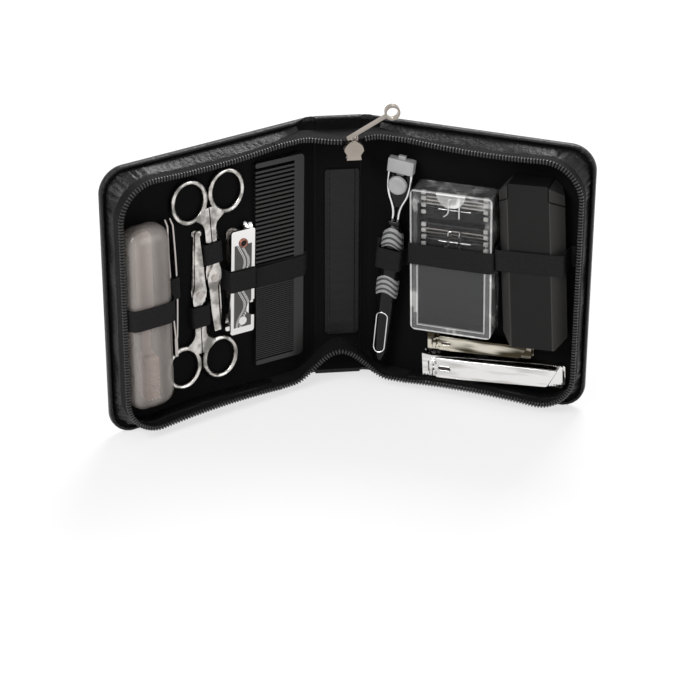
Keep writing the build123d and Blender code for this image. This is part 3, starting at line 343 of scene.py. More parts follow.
for name, place, side in covers:
    middle = np.array([side * (crease + cover_width) / 2, case_height / 2])
    rings = [cover_ring(side, inset) for inset, height in edge_profile]
    heights = []
    for ring, (inset, height) in zip(rings, edge_profile):
        near_fold = 1 - smooth_step((np.abs(ring[:, 0]) - crease) / 7)
        ripple = corner_pleats(ring) * 0.32 * min(height / bead_height, 1)
        heights.append(height + ripple - np.maximum(height - turned_edge, 0) * near_fold)
    grid = stacked(rings, heights, centre_shares, middle)
    shell = surface(f"{name}_leather_shell", world(place, grid), leather, 60)
    fit(shell, f"{name}_cover", "black_leather", f"{name}_cover_leather")

# ---- Lining and boards ----
# Matt black velvet glued to a stiff board inside each cover and the spine. It drinks the
# light, with a faint nap that shows only at a shallow angle.


def velvet_pattern(at, uv):
    """Almost black pile, brushed a little lighter in streaks and specks of lint."""
    nap = at.noise(14.0, 4.0)
    pile = at.noise(2600.0, 2.0)
    lint = at.cells(42.0).between(0.055, 0.03) * at.noise(9.0).between(0.62, 0.7)
    colour = (nap * 0.7 + lint * 0.5).tint((0.0016, 0.0016, 0.0017), (0.006, 0.006, 0.0064))
    return {"Base Color": colour, "Normal": pile.bump(0.0002, 0.6)}


velvet = finish(
    "black_velvet", velvet_pattern, Roughness=0.95, Sheen_Weight=0.05, Sheen_Roughness=0.4,
    Specular_IOR_Level=0.1
)
board = finish(
    "grey_board",
    lambda at, uv: {"Base Color": at.noise(500.0).tint((0.2, 0.18, 0.15), (0.32, 0.29, 0.24))},
    Roughness=0.9,
)


def dress(material, *nodes):
    """The model's own solid keeps its shape and gets this material."""
    for node in nodes:
        solid = frame["nodes"][node]
        solid.data.materials.clear()
        solid.data.materials.append(material)


dress(board, "spine_board", "left_cover_board", "right_cover_board")
lining_profile = ((2.5, panel_thickness), (2.45, 3.12), (2.4, 2.95), (2.4, 2.5), (2.4, 2.42))
for name, place, side in covers:
    middle = np.array([side * (crease + cover_width) / 2, case_height / 2])
    rings = [cover_ring(side, inset) for inset, height in lining_profile]
    grid = stacked(rings, [height for inset, height in lining_profile], centre_shares, middle)
    lining = surface(f"{name}_velvet", world(place, grid), velvet)
    fit(lining, f"{name}_cover", "black_velvet", f"{name}_cover_lining")

# ---- Spine and folds ----
# The spine is a narrow board wrapped like the covers. Between it and each cover the skin
# and the lining run on without a board, in one sheet that turns from the spine into the cover.
spine_rim = ((0.6, 0.0), (0.15, 0.3), (0.0, 1.0), (0.0, 2.6), (0.2, 3.2), (0.7, 3.5), (1.3, 3.4), (2.0, 3.15))


def upright_slab(place, x0, x1, y0, y1, rows):
    """Flat slab from x0 to x1 whose foot and top follow rows of (inset, height)."""
    xs = np.linspace(x0, x1, 24)
    front = [(y1 - inset, height) for inset, height in rows]
    back = [(y0 + inset, height) for inset, height in rows[::-1]]
    ring = np.array(front + [(y, rows[-1][1]) for y in np.linspace(y1 - 8, y0 + 8, 40)] + back)
    under = [(y, rows[0][1]) for y in np.linspace(y0 + 8, y1 - 8, 40)]
    ring = np.concatenate([ring, np.array(under)])
    x = np.broadcast_to(xs[:, None], (len(xs), len(ring)))
    y = np.broadcast_to(ring[None, :, 0], x.shape)
    height = np.broadcast_to(ring[None, :, 1], x.shape)
    return world(place, np.stack([x, y, height], -1))


stiff_half = spine_width / 2 - crease
back_skin = surface(
    "spine_leather_shell",
    upright_slab(spine, -stiff_half - 0.2, stiff_half + 0.2, 0, case_height, spine_rim), leather, 60
)
fit(back_skin, "spine", "black_leather", "spine_leather")
spine_rows = ((2.3, 2.5), (2.25, 3.0), (2.6, 3.18))
lining = surface(
    "spine_velvet",
    upright_slab(spine, -stiff_half - 0.1, stiff_half + 0.1, 0, case_height, spine_rows), velvet
)
fit(lining, "spine", "black_velvet", "spine_lining")


def fold_sheet(panel, side, low, high, y0, y1):
    """Sheet round a fold between two heights: across the crease by turning one panel into the other."""
    share = np.linspace(0, 1, 22)
    turn = smooth_step(share)[:, None, None]
    thick = np.linspace(0, 2 * math.pi, 13)[:-1]
    height = (low + high) / 2 + (high - low) / 2 * np.sign(np.sin(thick)) * np.abs(np.sin(thick)) ** 0.5
    y = (y0 + y1) / 2 + (y1 - y0) / 2 * np.sign(np.cos(thick)) * np.abs(np.cos(thick)) ** 0.16
    on_spine = side * (stiff_half - 0.7 + share * (2 * crease + 1.4))
    on_cover = side * (share * (2 * crease + 1.4) - crease - 0.7)
    rib = 0.1 * np.sin(share * 5 * math.pi) * (np.abs(share - 0.5) < 0.4)

    def ends(place, spots):
        grid = np.stack(np.broadcast_arrays(spots[:, None], y[None], height[None] + rib[:, None]), -1)
        return world(place, grid)

    return ends(spine, on_spine) * (1 - turn) + ends(panel, on_cover) * turn


for name, panel, side in covers:
    start = world(spine, (side * (stiff_half + 0.5), case_height / 2, 0))
    end = world(panel, (side * crease, case_height / 2, 0))
    for part, low, high, inset, material, slot in (
        ("leather", 0.0, 2.5, 0.0, leather, "black_leather"),
        ("velvet", 2.3, panel_thickness, 2.2, velvet, "black_velvet"),
    ):
        sheet = surface(
            f"{name}_fold_{part}", fold_sheet(panel, side, low, high, inset, case_height - inset),
            material, 60
        )
        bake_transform(sheet)
        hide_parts("fold_leathers")

# ---- Walls: leatherette below, zip tape above ----
# A soft wall stands on each cover. Its leatherette foot is sewn in beside the bead and
# leans inwards, gathered at the outer corners, to the woven zip tape sewn to its top.
wall_start, wall_side_inset, wall_top_inset, wall_bottom_inset = 30.0, 3.6, 5.6, 6.0
wall_corner, wall_sag, wall_leather_height = 22.0, 1.6, 8.4
leather_start, low_leather = 9.0, 2.0
seam_gap, chain_height, splay = 0.8, 2.1, math.radians(1.55)


def wall_path(side, head_start=wall_start, step=0.9):
    """Points, outward normals, running length and corner share of the wall's centre line."""
    top, foot, reach = case_height - wall_top_inset, wall_bottom_inset, cover_width - wall_side_inset
    run_end = reach - wall_corner
    run = np.linspace(0, 1, 300)
    sag = wall_sag * 4 * run * (1 - run)
    arc = np.linspace(0, math.pi / 2, 160)[1:-1]
    x = np.concatenate([
        head_start + run * (run_end - head_start),
        run_end + wall_corner * np.sin(arc),
        np.full(300, reach),
        run_end + wall_corner * np.cos(arc),
        run_end - run * (run_end - wall_start),
    ])
    y = np.concatenate([
        top - sag,
        top - wall_corner + wall_corner * np.cos(arc),
        np.linspace(top - wall_corner, foot + wall_corner, 300),
        foot + wall_corner - wall_corner * np.sin(arc),
        foot + sag,
    ])
    raw = np.stack([x, y], -1)
    length = np.concatenate([[0], np.cumsum(np.linalg.norm(np.diff(raw, axis=0), axis=1))])
    even = np.linspace(0, length[-1], int(length[-1] / step))
    x, y = np.interp(even, length, x), np.interp(even, length, y)
    dx, dy = np.gradient(x), np.gradient(y)
    size = np.hypot(dx, dy)
    corner = smooth_step((x - run_end + 4) / 12) * (
        smooth_step((y - (top - wall_corner) + 6) / 12) + smooth_step((foot + wall_corner + 6 - y) / 12)
    )
    return np.stack([side * x, y], -1), np.stack([-side * dy / size, dx / size], -1), even, corner


def seam_height(x):
    """Height off the outer face at which the two zip rows meet, at this distance from the fold."""
    return spine_width / 2 - seam_gap / 2 + np.abs(x) * math.tan(splay)


def room_outwards(path, bead=2.7):
    """Distance from each point of the path out to the bead: signed distance of the cover's round outline."""
    beyond = np.abs(path - [0, case_height / 2]) - [
        cover_width - cover_corner, case_height / 2 - cover_corner
    ]
    beyond[:, 0] = np.abs(path[:, 0]) - (cover_width - cover_corner)
    outside = np.linalg.norm(np.maximum(beyond, 0), axis=1) + np.minimum(beyond.max(1), 0)
    return cover_corner - outside - bead


def carried(path, normal, offsets, heights):
    """Section of (offset outwards, height) carried along a path on a panel."""
    offsets = np.broadcast_to(offsets, (len(path), np.shape(offsets)[-1]))
    heights = np.broadcast_to(heights, offsets.shape)
    flat = path[:, None, :] + normal[:, None, :] * offsets[..., None]
    return np.concatenate([flat, heights[..., None]], -1)


def tape_pattern(at, uv):
    """Fine twill of the tape: diagonal ribs crossed by the pitch of the warp."""
    u, v = uv.axis(0), uv.axis(1)
    twill = (u + v * 1.0).wave(0.72)
    warp = u.wave(0.9)
    weave = twill * 0.6 + warp * 0.4
    dust = at.noise(420.0, 3.0)
    colour = (weave * 0.5 + dust * 0.5).tint((0.003, 0.003, 0.0032), (0.013, 0.0125, 0.013))
    return {"Base Color": colour, "Normal": weave.bump(0.0002, 0.7)}


tape_cloth = finish("black_zip_tape", tape_pattern, Roughness=0.75, Specular_IOR_Level=0.12)


def gathers(length, phase):
    """Uneven small folds along the wall: three cosines of its running length."""
    coarse = 0.5 * np.cos(length / 0.62 + phase[0])
    fine = 0.35 * np.cos(length / 0.41 + phase[1])
    return coarse + fine + 0.25 * np.cos(length / 1.3 + phase[2])


for name, panel, side in covers:
    phase = pleat.uniform(0, 6, 3)
    path, normal, length, corner = wall_path(side, leather_start)
    out = -1 if (normal[len(path) // 2, 0] * side) < 0 else 1
    normal = normal * out
    gather = gathers(length, phase)
    slack = 0.16 * np.cos(length / 6.1 + phase[1]) + 0.1 * np.cos(length / 3.7 + phase[2])
    foot = panel_thickness - 0.2
    rise = np.linspace(0, 1, 12)
    slope = np.clip(room_outwards(path), 0.9, 5.5)
    pleats = (gather * (0.25 + corner * 1.1) + slack * 1.6)[:, None] * np.sin(rise * math.pi)[None] ** 0.8
    face = 0.62 + (slope - 0.62)[:, None] * (1 - rise ** 1.25)[None] + pleats * 0.8
    offsets = np.concatenate(
        [face, np.broadcast_to([0.25, -0.3, -0.62], (len(path), 3)), np.full((len(path), 2), -0.6)],
        1
    )
    taper = smooth_step((np.abs(path[:, 0]) - leather_start) / (wall_start - leather_start))
    tall = low_leather + (wall_leather_height - low_leather) * taper
    share = np.concatenate([rise, [1.04, 1.04, 1.0, 0.4, 0.0]])
    height = foot + tall[:, None] * share[None]
    wall = surface(f"{name}_leather_wall", world(panel, carried(path, normal, offsets, height)), leather, 70)
    fit(wall, f"{name}_cover", "black_leather", f"{name}_gusset")

    path, normal, length, corner = wall_path(side)
    normal = normal * out
    gather = gathers(length, phase)
    rise = np.linspace(0, 1, 9)
    low, high = panel_thickness + wall_leather_height - 0.6, seam_height(path[:, 0]) - chain_height + 0.2
    up = low + (high - low)[:, None] * rise[None]
    sway = np.sin(rise * math.pi) * 0.35
    slow, quick = 0.5 * np.cos(length / 9.0 + phase[0]), 0.5 * np.cos(length / 5.3 + phase[1])
    bend = slow + quick + gather * corner * 0.5
    outer = 0.45 + sway[None] * bend[:, None]
    inner = outer - 0.9
    offsets = np.concatenate([outer, inner[:, ::-1]], 1)
    heights = np.concatenate([up, up[:, ::-1]], 1)
    tape = surface(f"{name}_tape", world(panel, carried(path, normal, offsets, heights)), tape_cloth, 70)
    fit(tape, f"{name}_cover", "black_tape", f"{name}_zip_tape")

# ---- Zip teeth ----
# Moulded black teeth clamped over a cord on the edge of the tape, one every 1.8 mm, with
# a dull shine on their heads. Across the spine the two rows end on a soft web of cloth.


def tooth_pattern(at, uv):
    """Black plastic, rubbed grey on the heads in uneven spots."""
    rub = at.noise(900.0, 2.0).between(0.35, 0.7)
    return {
        "Base Color": rub.tint((0.008, 0.008, 0.0085), (0.035, 0.034, 0.033)),
        "Roughness": rub * -0.12 + 0.42
    }


tooth_plastic = finish("zip_tooth_black", tooth_pattern, Specular_IOR_Level=0.6)
tooth_pitch, tooth_length, tooth_width, tooth_height = 1.8, 1.05, 2.8, 1.35


def chain(name, origins, along, across, up, pitch=tooth_pitch):
    """Cord and teeth along a path of points with three unit directions at each, all in metres."""
    turn = np.linspace(0, 2 * math.pi, 9)[:-1]
    across_cord = across[:, None] * np.cos(turn)[None, :, None] * 0.9 * MM
    cord_grid = origins[:, None] + across_cord + up[:, None] * (np.sin(turn) * 0.5 + 0.4)[None, :, None] * MM
    cord = surface(name + "_cord", cord_grid, tape_cloth, 70)
    length = np.concatenate([[0], np.cumsum(np.linalg.norm(np.diff(origins, axis=0), axis=1))]) / MM
    spots = np.arange(pitch * 0.5, length[-1], pitch)
    place = [
        np.stack([np.interp(spots, length, part[:, k]) for k in range(3)], -1)
        for part in (origins, along, across, up)
    ]
    levels = np.array([(-0.9, 0.8), (-0.55, 1.0), (0.1, 1.0), (0.75, 0.92), (1.0, 0.7)])
    corner = np.array([
        (-1, -0.55), (-0.55, -1), (0.55, -1), (1, -0.55), (1, 0.55), (0.55, 1), (-0.55, 1), (-1, 0.55)
    ])
    local = np.stack([
        levels[:, 1, None] * corner[None, :, 0] * tooth_length / 2,
        levels[:, 1, None] * corner[None, :, 1] * tooth_width / 2,
        np.broadcast_to((levels[:, 0, None] + 1) * tooth_height * 0.75 - 0.25, (5, 8)),
    ], -1) * MM
    grids = sum(
        local[None, ..., k, None] * place[k + 1][:, None, None, :] for k in range(3)
    ) + place[0][:, None, None]
    return cord, surface(name + "_teeth", grids, tooth_plastic, 50)


for name, panel, side in covers:
    path, normal, length, corner = wall_path(side)
    lean = side * splay
    up = panel[3] * math.cos(lean) - panel[1] * math.sin(lean)
    height = seam_height(path[:, 0]) - chain_height
    origins = world(panel, np.concatenate([path, height[:, None]], 1))
    along = np.gradient(origins, axis=0)
    along /= np.linalg.norm(along, axis=1)[:, None]
    ups = np.broadcast_to(up, along.shape)
    across = np.cross(ups, along)
    for piece in chain(f"{name}_zip", origins, along, across, ups):
        fit(piece, f"{name}_cover", "zip_plastic", f"{name}_zip_teeth")

# ---- Webs across the spine ----
# A strip of the same cloth joins the walls of both covers at the head and the foot of the
# spine. It sags at the head, and at the foot it arches up so that the case can close.
slider_x, slider_reach = 6.9, 21.5
arch_half_width = 28.0
web_levels = (("head", case_height - wall_top_inset, -2.2), ("foot", wall_bottom_inset, 18.0))


def web_edge_points(count, height_in, height_out):
    """Two matching curves in plan, along the linings and along the zip ends, in millimetres."""
    near = wall_start - 0.2
    anchors = {}
    for key, lift, middle in (("in", height_in, height_in), ("out", height_out, slider_reach - 1.2)):
        tip = (0, 0, middle) if key == "in" else (slider_x * 0.6, 0, middle)
        joint = crease + 6
        spots = [world(left, (-near, 0, lift)), world(left, (-joint, 0, lift)), world(spine, tip),
                 world(right, (joint, 0, lift)), world(right, (near, 0, lift))]
        anchors[key] = np.array(spots)[:, :2] / MM
    t = np.linspace(0, 1, count)
    knots = np.array([0, 0.3, 0.5, 0.7, 1])
    curves = []
    for key in ("in", "out"):
        straight = np.stack([np.interp(t, knots, anchors[key][:, k]) for k in range(2)], -1)
        for _ in range(count // 5):
            straight[1:-1] = (straight[:-2] + 2 * straight[1:-1] + straight[2:]) / 4
        curves.append(straight)
    return curves


def web_rise(x, rise):
    """Bump or sag over the spine: one full cosine wave within the arch."""
    return rise * 0.5 * (1 + np.cos(np.clip(x / arch_half_width, -1, 1) * math.pi))


web_count = 81
crown = seam_height(wall_start) - chain_height
for level, foot, rise in web_levels:
    inner, outer = web_edge_points(web_count, panel_thickness + 0.3, crown)
    half = web_count // 2
    for name, panel, side in covers:
        pick = slice(0, half + 1) if side < 0 else slice(half, web_count)
        share = np.linspace(0, 1, 12)
        plan = inner[pick, None] * (1 - share)[None, :, None] + outer[pick, None] * share[None, :, None]
        flutter = 0.25 * np.sin(share * math.pi * 3)[None] * np.cos(plan[..., 0] / 3.0)
        z = foot + web_rise(plan[..., 0], rise) + flutter
        top = np.concatenate([plan, (z + 0.45)[..., None]], -1)
        low = np.concatenate([plan, (z - 0.45)[..., None]], -1)
        web = surface(f"{name}_web_{level}", np.concatenate([top, low[:, ::-1]], 1) * MM, tape_cloth, 70)
        start = world(spine, (side * (stiff_half - 4), case_height / 2, 6))
        end = world(panel, (side * (crease + 3), case_height / 2, 6))
        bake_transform(web)
        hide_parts("gusset_webs")

        edge = outer[pick]
        rim = np.concatenate([edge, (foot + web_rise(edge[:, 0], rise))[:, None]], 1) * MM
        if level == "head":
            away = np.abs(rim[:, 0] / MM - slider_x) > 5.2
            rim = rim[away]
        along = np.gradient(rim, axis=0)
        along /= np.linalg.norm(along, axis=1)[:, None]
        upward = np.broadcast_to([0.0, 0.0, 1.0], along.shape)
        up = np.cross(upward, along)
        up = up / np.linalg.norm(up, axis=1)[:, None]
        up = up * np.sign(-up[:, 1:2])
        across = np.cross(up, along)
        for piece in chain(f"{name}_{level}_end", rim, along, across, up):
            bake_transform(piece)
            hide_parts("zip_ends")

# ---- Zip slider and pull ----
# Nickel-plated die casting on the right-hand row near the head, with a bar bridge and a
# pull that ends in a ring. Plating over a slightly uneven casting.


def plate_pattern(low, high, smooth, rough):
    """Plated metal: its tint and polish drift slowly, with a few fine handling marks."""

    def pattern(at, uv):
        drift = at.noise(35.0, 3.0)
        marks = at.noise(340.0, 5.0)
        colour = drift.tint(low, high)
        wear = drift * 0.6 + marks * 0.4
        return {
            "Base Color": colour, "Roughness": wear * (rough - smooth) + smooth,
            "Normal": marks.bump(0.00004, 0.35)
        }

    return pattern


nickel = finish("nickel_plate", plate_pattern((0.13, 0.11, 0.09), (0.5, 0.45, 0.4), 0.14, 0.36), Metallic=1.0)
dress(nickel, "zip_slider", "zip_pull")

# ---- Strap on the spine ----
# A flat strap of the same leatherette, folded over and sewn down at both ends on the
# inside of the spine, with a stitched edge and a crushed, creased face.
strap_width, strap_height, strap_foot, strap_shift, strap_thickness = 20.0, 106.0, 27.0, 2.4, 1.0


def strap_pattern(at, uv):
    """Leather crushed into fine lines across the strap, with a row of stitches down each side."""
    x, z = at.axis(0), at.axis(2)
    grain = at.cells(1150.0)
    crush = at.make("Mapping", {}, {"Vector": at, "Scale": (150.0, 150.0, 620.0)}).noise(1.0, 3.0)
    rubbed = at.noise(30.0, 4.0)
    edge = (x - 0.0024).maths("ABSOLUTE")
    seam = (edge - 0.0079).maths("ABSOLUTE").between(0.00045, 0.00015)
    thread = seam * z.wave(0.0032).between(0.3, 0.55)
    groove = (edge - 0.0079).maths("ABSOLUTE").between(0.0011, 0.0002)
    normal = (crush * 0.9 - grain * 0.25 - groove * 1.6 + thread * 1.2).bump(0.0003, 0.8)
    colour = (rubbed * 0.4 + crush * 0.3 + thread * 0.4).tint((0.003, 0.003, 0.0032), (0.022, 0.021, 0.0215))
    return {"Base Color": colour, "Roughness": rubbed * 0.2 + 0.38, "Normal": normal}


strap_leather = finish("strap_leatherette", strap_pattern, Specular_IOR_Level=0.2)
strap_turn = np.linspace(0, 2 * math.pi, 49)[:-1]
strap_rows = np.linspace(0, 1, 90)
half_strap = strap_width / 2 - 1.2 * np.maximum(0, np.abs(strap_rows * 2 - 1) - 0.985) / 0.015
pad = 0.12 * np.sin(strap_rows * 40) + 0.1 * np.sin(strap_rows * 93 + 1)
outline_x = np.sign(np.cos(strap_turn)) * np.abs(np.cos(strap_turn)) ** 0.35
outline_h = np.sign(np.sin(strap_turn)) * np.abs(np.sin(strap_turn)) ** 0.6
x = strap_shift + outline_x[None] * half_strap[:, None]
y = np.broadcast_to((strap_foot + strap_rows * strap_height)[:, None], x.shape)
swollen = strap_thickness / 2 + 0.22 * (1 - outline_x[None] ** 4) + pad[:, None] * 0.5
crown = swollen * (outline_h > 0) + strap_thickness / 2 * (outline_h <= 0)
height = panel_thickness + 0.5 + outline_h[None] * crown
strap = surface("spine_strap_sewn", world(spine, np.stack([x, y, height], -1)), strap_leather, 60)
fit(strap, "spine", "black_leather", "spine_strap")

# ---- Elastic loops ----
# Black ribbed elastic, 13 mm wide, stretched over each tool and sewn down beside it. The
# ribs run along the strap and its two woven edges are a little thicker.
seat_height = panel_thickness + 0.3
band_thickness, band_width, band_gap, band_foot = 1.0, 13.0, 0.35, 2.8


def elastic_pattern(at, uv):
    """Fine ribs along the strap, crossed by the knit, over a worn and fluffy face."""
    u, v = uv.axis(0), uv.axis(1)
    ribs = u.wave(0.85)
    knit = v.wave(0.62)
    fluff = at.noise(700.0, 3.0)
    weave = ribs * 0.65 + knit * 0.35
    colour = (weave * 0.4 + fluff * 0.6).tint((0.004, 0.0038, 0.004), (0.02, 0.0185, 0.019))
    return {"Base Color": colour, "Normal": weave.bump(0.00018, 0.8)}


elastic = finish("ribbed_elastic", elastic_pattern, Roughness=0.75, Specular_IOR_Level=0.12)


def rounded(points, radius, count=7):
    """Open run of straight pieces whose inner corners are turned into short curves."""
    points = np.asarray(points, float)
    line = [points[0]]
    t = np.linspace(0, 1, count)[:, None]
    for before, corner, after in zip(points[:-2], points[1:-1], points[2:]):
        into, out = before - corner, after - corner
        reach_in = min(radius, np.linalg.norm(into) * 0.48)
        reach_out = min(radius, np.linalg.norm(out) * 0.48)
        start = corner + into / np.linalg.norm(into) * reach_in
        stop = corner + out / np.linalg.norm(out) * reach_out
        line.extend((1 - t) ** 2 * start + 2 * t * (1 - t) * corner + t ** 2 * stop)
    line.append(points[-1])
    return np.array(line)


def sewn_band(name, side, place, x0, x1, top, low, feet, bend=1.0, width=band_width):
    """Strap section (thickness by width) carried over the tool along its rounded outline."""
    half = band_thickness / 2
    a, b = x0 - band_gap - half, x1 + band_gap + half
    floor, roof = -0.3 + half, top + band_gap + half
    start = [(a - half - feet[0], floor)] if feet[0] else []
    stop = [(b + half + feet[1], floor)] if feet[1] else []
    foot_a = [(a, floor)] if feet[0] else [(a, -0.3)]
    foot_b = [(b, floor)] if feet[1] else [(b, -0.3)]
    over = [(a, roof - bend), (a + bend, roof), (b - bend, roof), (b, roof - bend)]
    run = start + foot_a + over + foot_b + stop
    line = rounded(run, 1.3 if bend < 2 else 3.4)
    step = np.gradient(line, axis=0)
    step /= np.linalg.norm(step, axis=1)[:, None]
    away = np.stack([-step[:, 1], step[:, 0]], 1)
    across = np.array([0, 0.35, 0.9, 2.0, 4.2, 6.5, 8.8, 11.0, 12.1, 12.65, 13.0]) * width / 13.0
    swell = np.array([0.2, 0.42, 0.54, 0.46, 0.44, 0.45, 0.44, 0.46, 0.54, 0.42, 0.2])
    y = np.concatenate([across, across[::-1]])
    thick = np.concatenate([swell, -swell[::-1] * 0.9])
    flat = line[:, None] + away[:, None] * thick[None, :, None]
    grid = np.stack([flat[..., 0], np.broadcast_to(low + y, flat.shape[:2]), flat[..., 1]], -1)
    piece = surface(name, world(place, grid), elastic, 75)
    return fit(piece, f"{side}_cover", "black_elastic", f"{side}_elastic_loops")


# ---- Toothbrush case ----
# Two halves of smoky, slightly see-through plastic. They meet on a collar below the
# middle, and every edge is well rounded.
case_width, case_depth, case_length, case_wall, case_dome, case_split = 29.0, 17.6, 113.0, 1.2, 10.5, 58.0
brush_place = shift(left, -113.5, 18.6, seat_height)


def along_place(at, place):
    """Lengths across, along and off a place in millimetres: dot products with its directions."""
    lengths = []
    for way in place[1:]:
        total = at.axis(0) * (way[0] / MM) + at.axis(1) * (way[1] / MM) + at.axis(2) * (way[2] / MM)
        lengths.append(total - float(place[0] @ way))
    return lengths


def smoke_pattern(at, uv):
    """Smoky plastic: cloudy tint with flow lines up the case, painted shade that darkens it towards its
    sides, and a scuffed shine.
    """
    x = along_place(at, brush_place)[0]
    cloud = at.noise(26.0, 4.0)
    flow = (x * 0.001 + at.noise(14.0) * 0.006).wave(0.011)
    scuff = at.noise(300.0, 5.0)
    # Painted shade: aside darkens the case towards its sides, and the sides are also made more opaque.
    aside = (x * 0.069).maths("POWER", 2.0)
    colour = (cloud * 0.45 + flow * 0.4 - aside * 0.35 + 0.15).tint((0.2, 0.175, 0.16), (0.62, 0.57, 0.53))
    alpha = cloud * 0.14 + aside * 0.25 + 0.26
    return {
        "Base Color": colour, "Roughness": scuff * 0.1 + 0.05, "Alpha": alpha,
        "Normal": cloud.bump(0.0012, 0.2)
    }


smoke = finish("smoky_plastic", smoke_pattern, Specular_IOR_Level=0.65)


def soft_box(width, depth, corner, count=9):
    """Closed outline of a rectangle with round corners, in (x, height) about its centre."""
    turn = np.linspace(0, math.pi / 2, count)
    cx, cy = width / 2 - corner, depth / 2 - corner
    quarter = np.stack([np.cos(turn), np.sin(turn)], -1) * corner
    spin = [
        (quarter, 1, 1), (quarter[::-1] * [-1, 1], -1, 1), (quarter * [-1, -1], -1, -1),
        (quarter[::-1] * [1, -1], 1, -1)
    ]
    corners = [arc + [sx * cx, sy * cy] for arc, sx, sy in spin]
    runs = []
    for number, arc in enumerate(corners):
        onward = corners[(number + 1) % 4][0]
        gap = np.linspace(0, 1, 5)[1:-1, None]
        runs += [arc, arc[-1] * (1 - gap) + onward * gap]
    return np.concatenate(runs)


def capsule_ring(y, inset):
    """Ring of the case body at a height along it, drawn in at the domed ends."""
    radius = case_dome - inset
    into = max(0.0, case_dome - y, y - (case_length - case_dome))
    pull = radius - math.sqrt(max(radius ** 2 - into ** 2, 0.0))
    draw = inset + pull
    shallow = inset + min(pull * 0.75, case_depth / 2 - inset - 0.5)
    ring = soft_box(case_width - 2 * draw, case_depth - 2 * shallow, max(case_depth * 0.48 - shallow, 0.45))
    return np.stack([ring[:, 0], np.full(len(ring), y), ring[:, 1] + case_depth / 2], -1)


def shell_rows(ends, inset):
    """Heights from the tip of the dome to the open rim, close together over the dome."""
    tip, rim = ends
    way = 1 if rim > tip else -1
    radius = case_dome - inset
    dome = case_dome - radius * np.cos(np.linspace(0.12, math.pi / 2, 10))
    start = tip + way * dome if way > 0 else tip - dome
    return [capsule_ring(y, inset) for y in start] + [
        capsule_ring(y, inset) for y in np.linspace(start[-1] + way * 2, rim, 6)
    ]


lower = shell_rows((0.0, case_split - 0.06), 0.0)
collar = (
    (case_split - 0.06, 1.25), (case_split + 5.9, 1.3), (case_split + 5.9, 2.2), (case_split - 6, 2.2)
)
lower += [capsule_ring(y, inset) for y, inset in collar]
lower += shell_rows((0.0, case_split - 7), case_wall)[::-1]
upper = shell_rows((case_length, case_split), 0.0)
upper += shell_rows((case_length, case_split + 0.1), case_wall)[::-1]
for half, rows, body, node in (
    ("lower", lower, "brush_case", "brush_case_lower"),
    ("upper", upper, "brush_case_cap", "brush_case_upper"),
):
    shell = surface(f"smoky_case_{half}", world(brush_place, np.stack(rows)), smoke, 40)
    fit(shell, body, "smoke_plastic", node)
sewn_band(
    "brush_band", "left", brush_place, -case_width / 2, case_width / 2, case_depth, case_split - 4,
    (0, 0), 4.0
)

# ---- Toothbrush ----
# A moulded handle, head down in the case, with rows of nylon tufts set into its head and
# facing the room.
brush_thickness, brush_head = 4.0, 30.0
handle_place = shift(brush_place, 0, case_wall + 3.0, case_wall + 2.6)


def handle_pattern(at, uv):
    """Milky pink plastic with faint clouds."""
    cloud = at.noise(40.0, 3.0)
    return {"Base Color": cloud.tint((0.5, 0.36, 0.33), (0.62, 0.48, 0.44)), "Roughness": cloud * 0.1 + 0.28}


brush_plastic = finish("toothbrush_plastic", handle_pattern)
dress(brush_plastic, "toothbrush_handle")


def bristle_pattern(at, uv):
    """Translucent nylon, pinker at the root."""
    root = (uv.axis(1) * 0.14).between(0.0, 1.0)
    return {"Base Color": root.tint((0.6, 0.32, 0.26), (0.95, 0.72, 0.62))}


nylon = finish("bristle_nylon", bristle_pattern, Roughness=0.45)
tuft_rows, tuft_columns, tuft_bristles, bristle_reach = 4, 11, 24, 7.0
rng = np.random.default_rng(7)
tuft_x = (np.arange(tuft_rows) - (tuft_rows - 1) / 2) * 2.2
tuft_y = brush_head / 2 + (np.arange(tuft_columns) - (tuft_columns - 1) / 2) * 2.45
tuft_middles = np.stack(np.meshgrid(tuft_x, tuft_y, indexing="ij"), -1).reshape(-1, 2)
spin, reach = rng.uniform(0, 2 * math.pi, (2, len(tuft_middles) * tuft_bristles))
reach = np.sqrt(reach / (2 * math.pi)) * 0.85
sprout = np.stack([np.cos(spin), np.sin(spin)], -1)
roots = np.repeat(tuft_middles, tuft_bristles, 0) + reach[:, None] * sprout
lean = rng.normal(0, 0.09, roots.shape)
rise = np.linspace(0, 1, 4)
girth = np.array([0.15, 0.15, 0.14, 0.08])
spin = np.linspace(0, 2 * math.pi, 6)[:-1]
circle = np.stack([np.cos(spin), np.sin(spin)], -1)
middle = roots[:, None] + lean[:, None] * (rise ** 2)[None, :, None]
flat = middle[:, :, None] + circle[None, None] * girth[None, :, None, None]
level = brush_thickness - 0.2 + rise * (bristle_reach + 0.2)
level = np.broadcast_to(level[None, :, None, None], flat.shape[:3] + (1,))
tufts = surface("toothbrush_tufts", world(handle_place, np.concatenate([flat, level], -1)), nylon, 60)
fit(tufts, "toothbrush", "bristle_nylon", "toothbrush_bristles")

# ---- Tweezers ----
# Two bowed arms of stamped steel, standing on edge and welded at the foot, brushed along
# their length and left bright on the edges.


def brushed_pattern(low, high, fine, coarse, across, smooth, rough):
    """Steel brushed along one direction: streaks that are long that way and fine across it."""

    def pattern(at, uv):
        stretch = at.make("Mapping", {}, {"Vector": at, "Rotation": across, "Scale": (fine, fine, coarse)})
        streak = stretch.noise(1.0, 4.0)
        cloud = at.noise(45.0, 3.0)
        mix = streak * 0.55 + cloud * 0.45
        return {
            "Base Color": mix.tint(low, high), "Roughness": mix * (rough - smooth) + smooth,
            "Normal": streak.bump(0.00006, 0.5)
        }

    return pattern


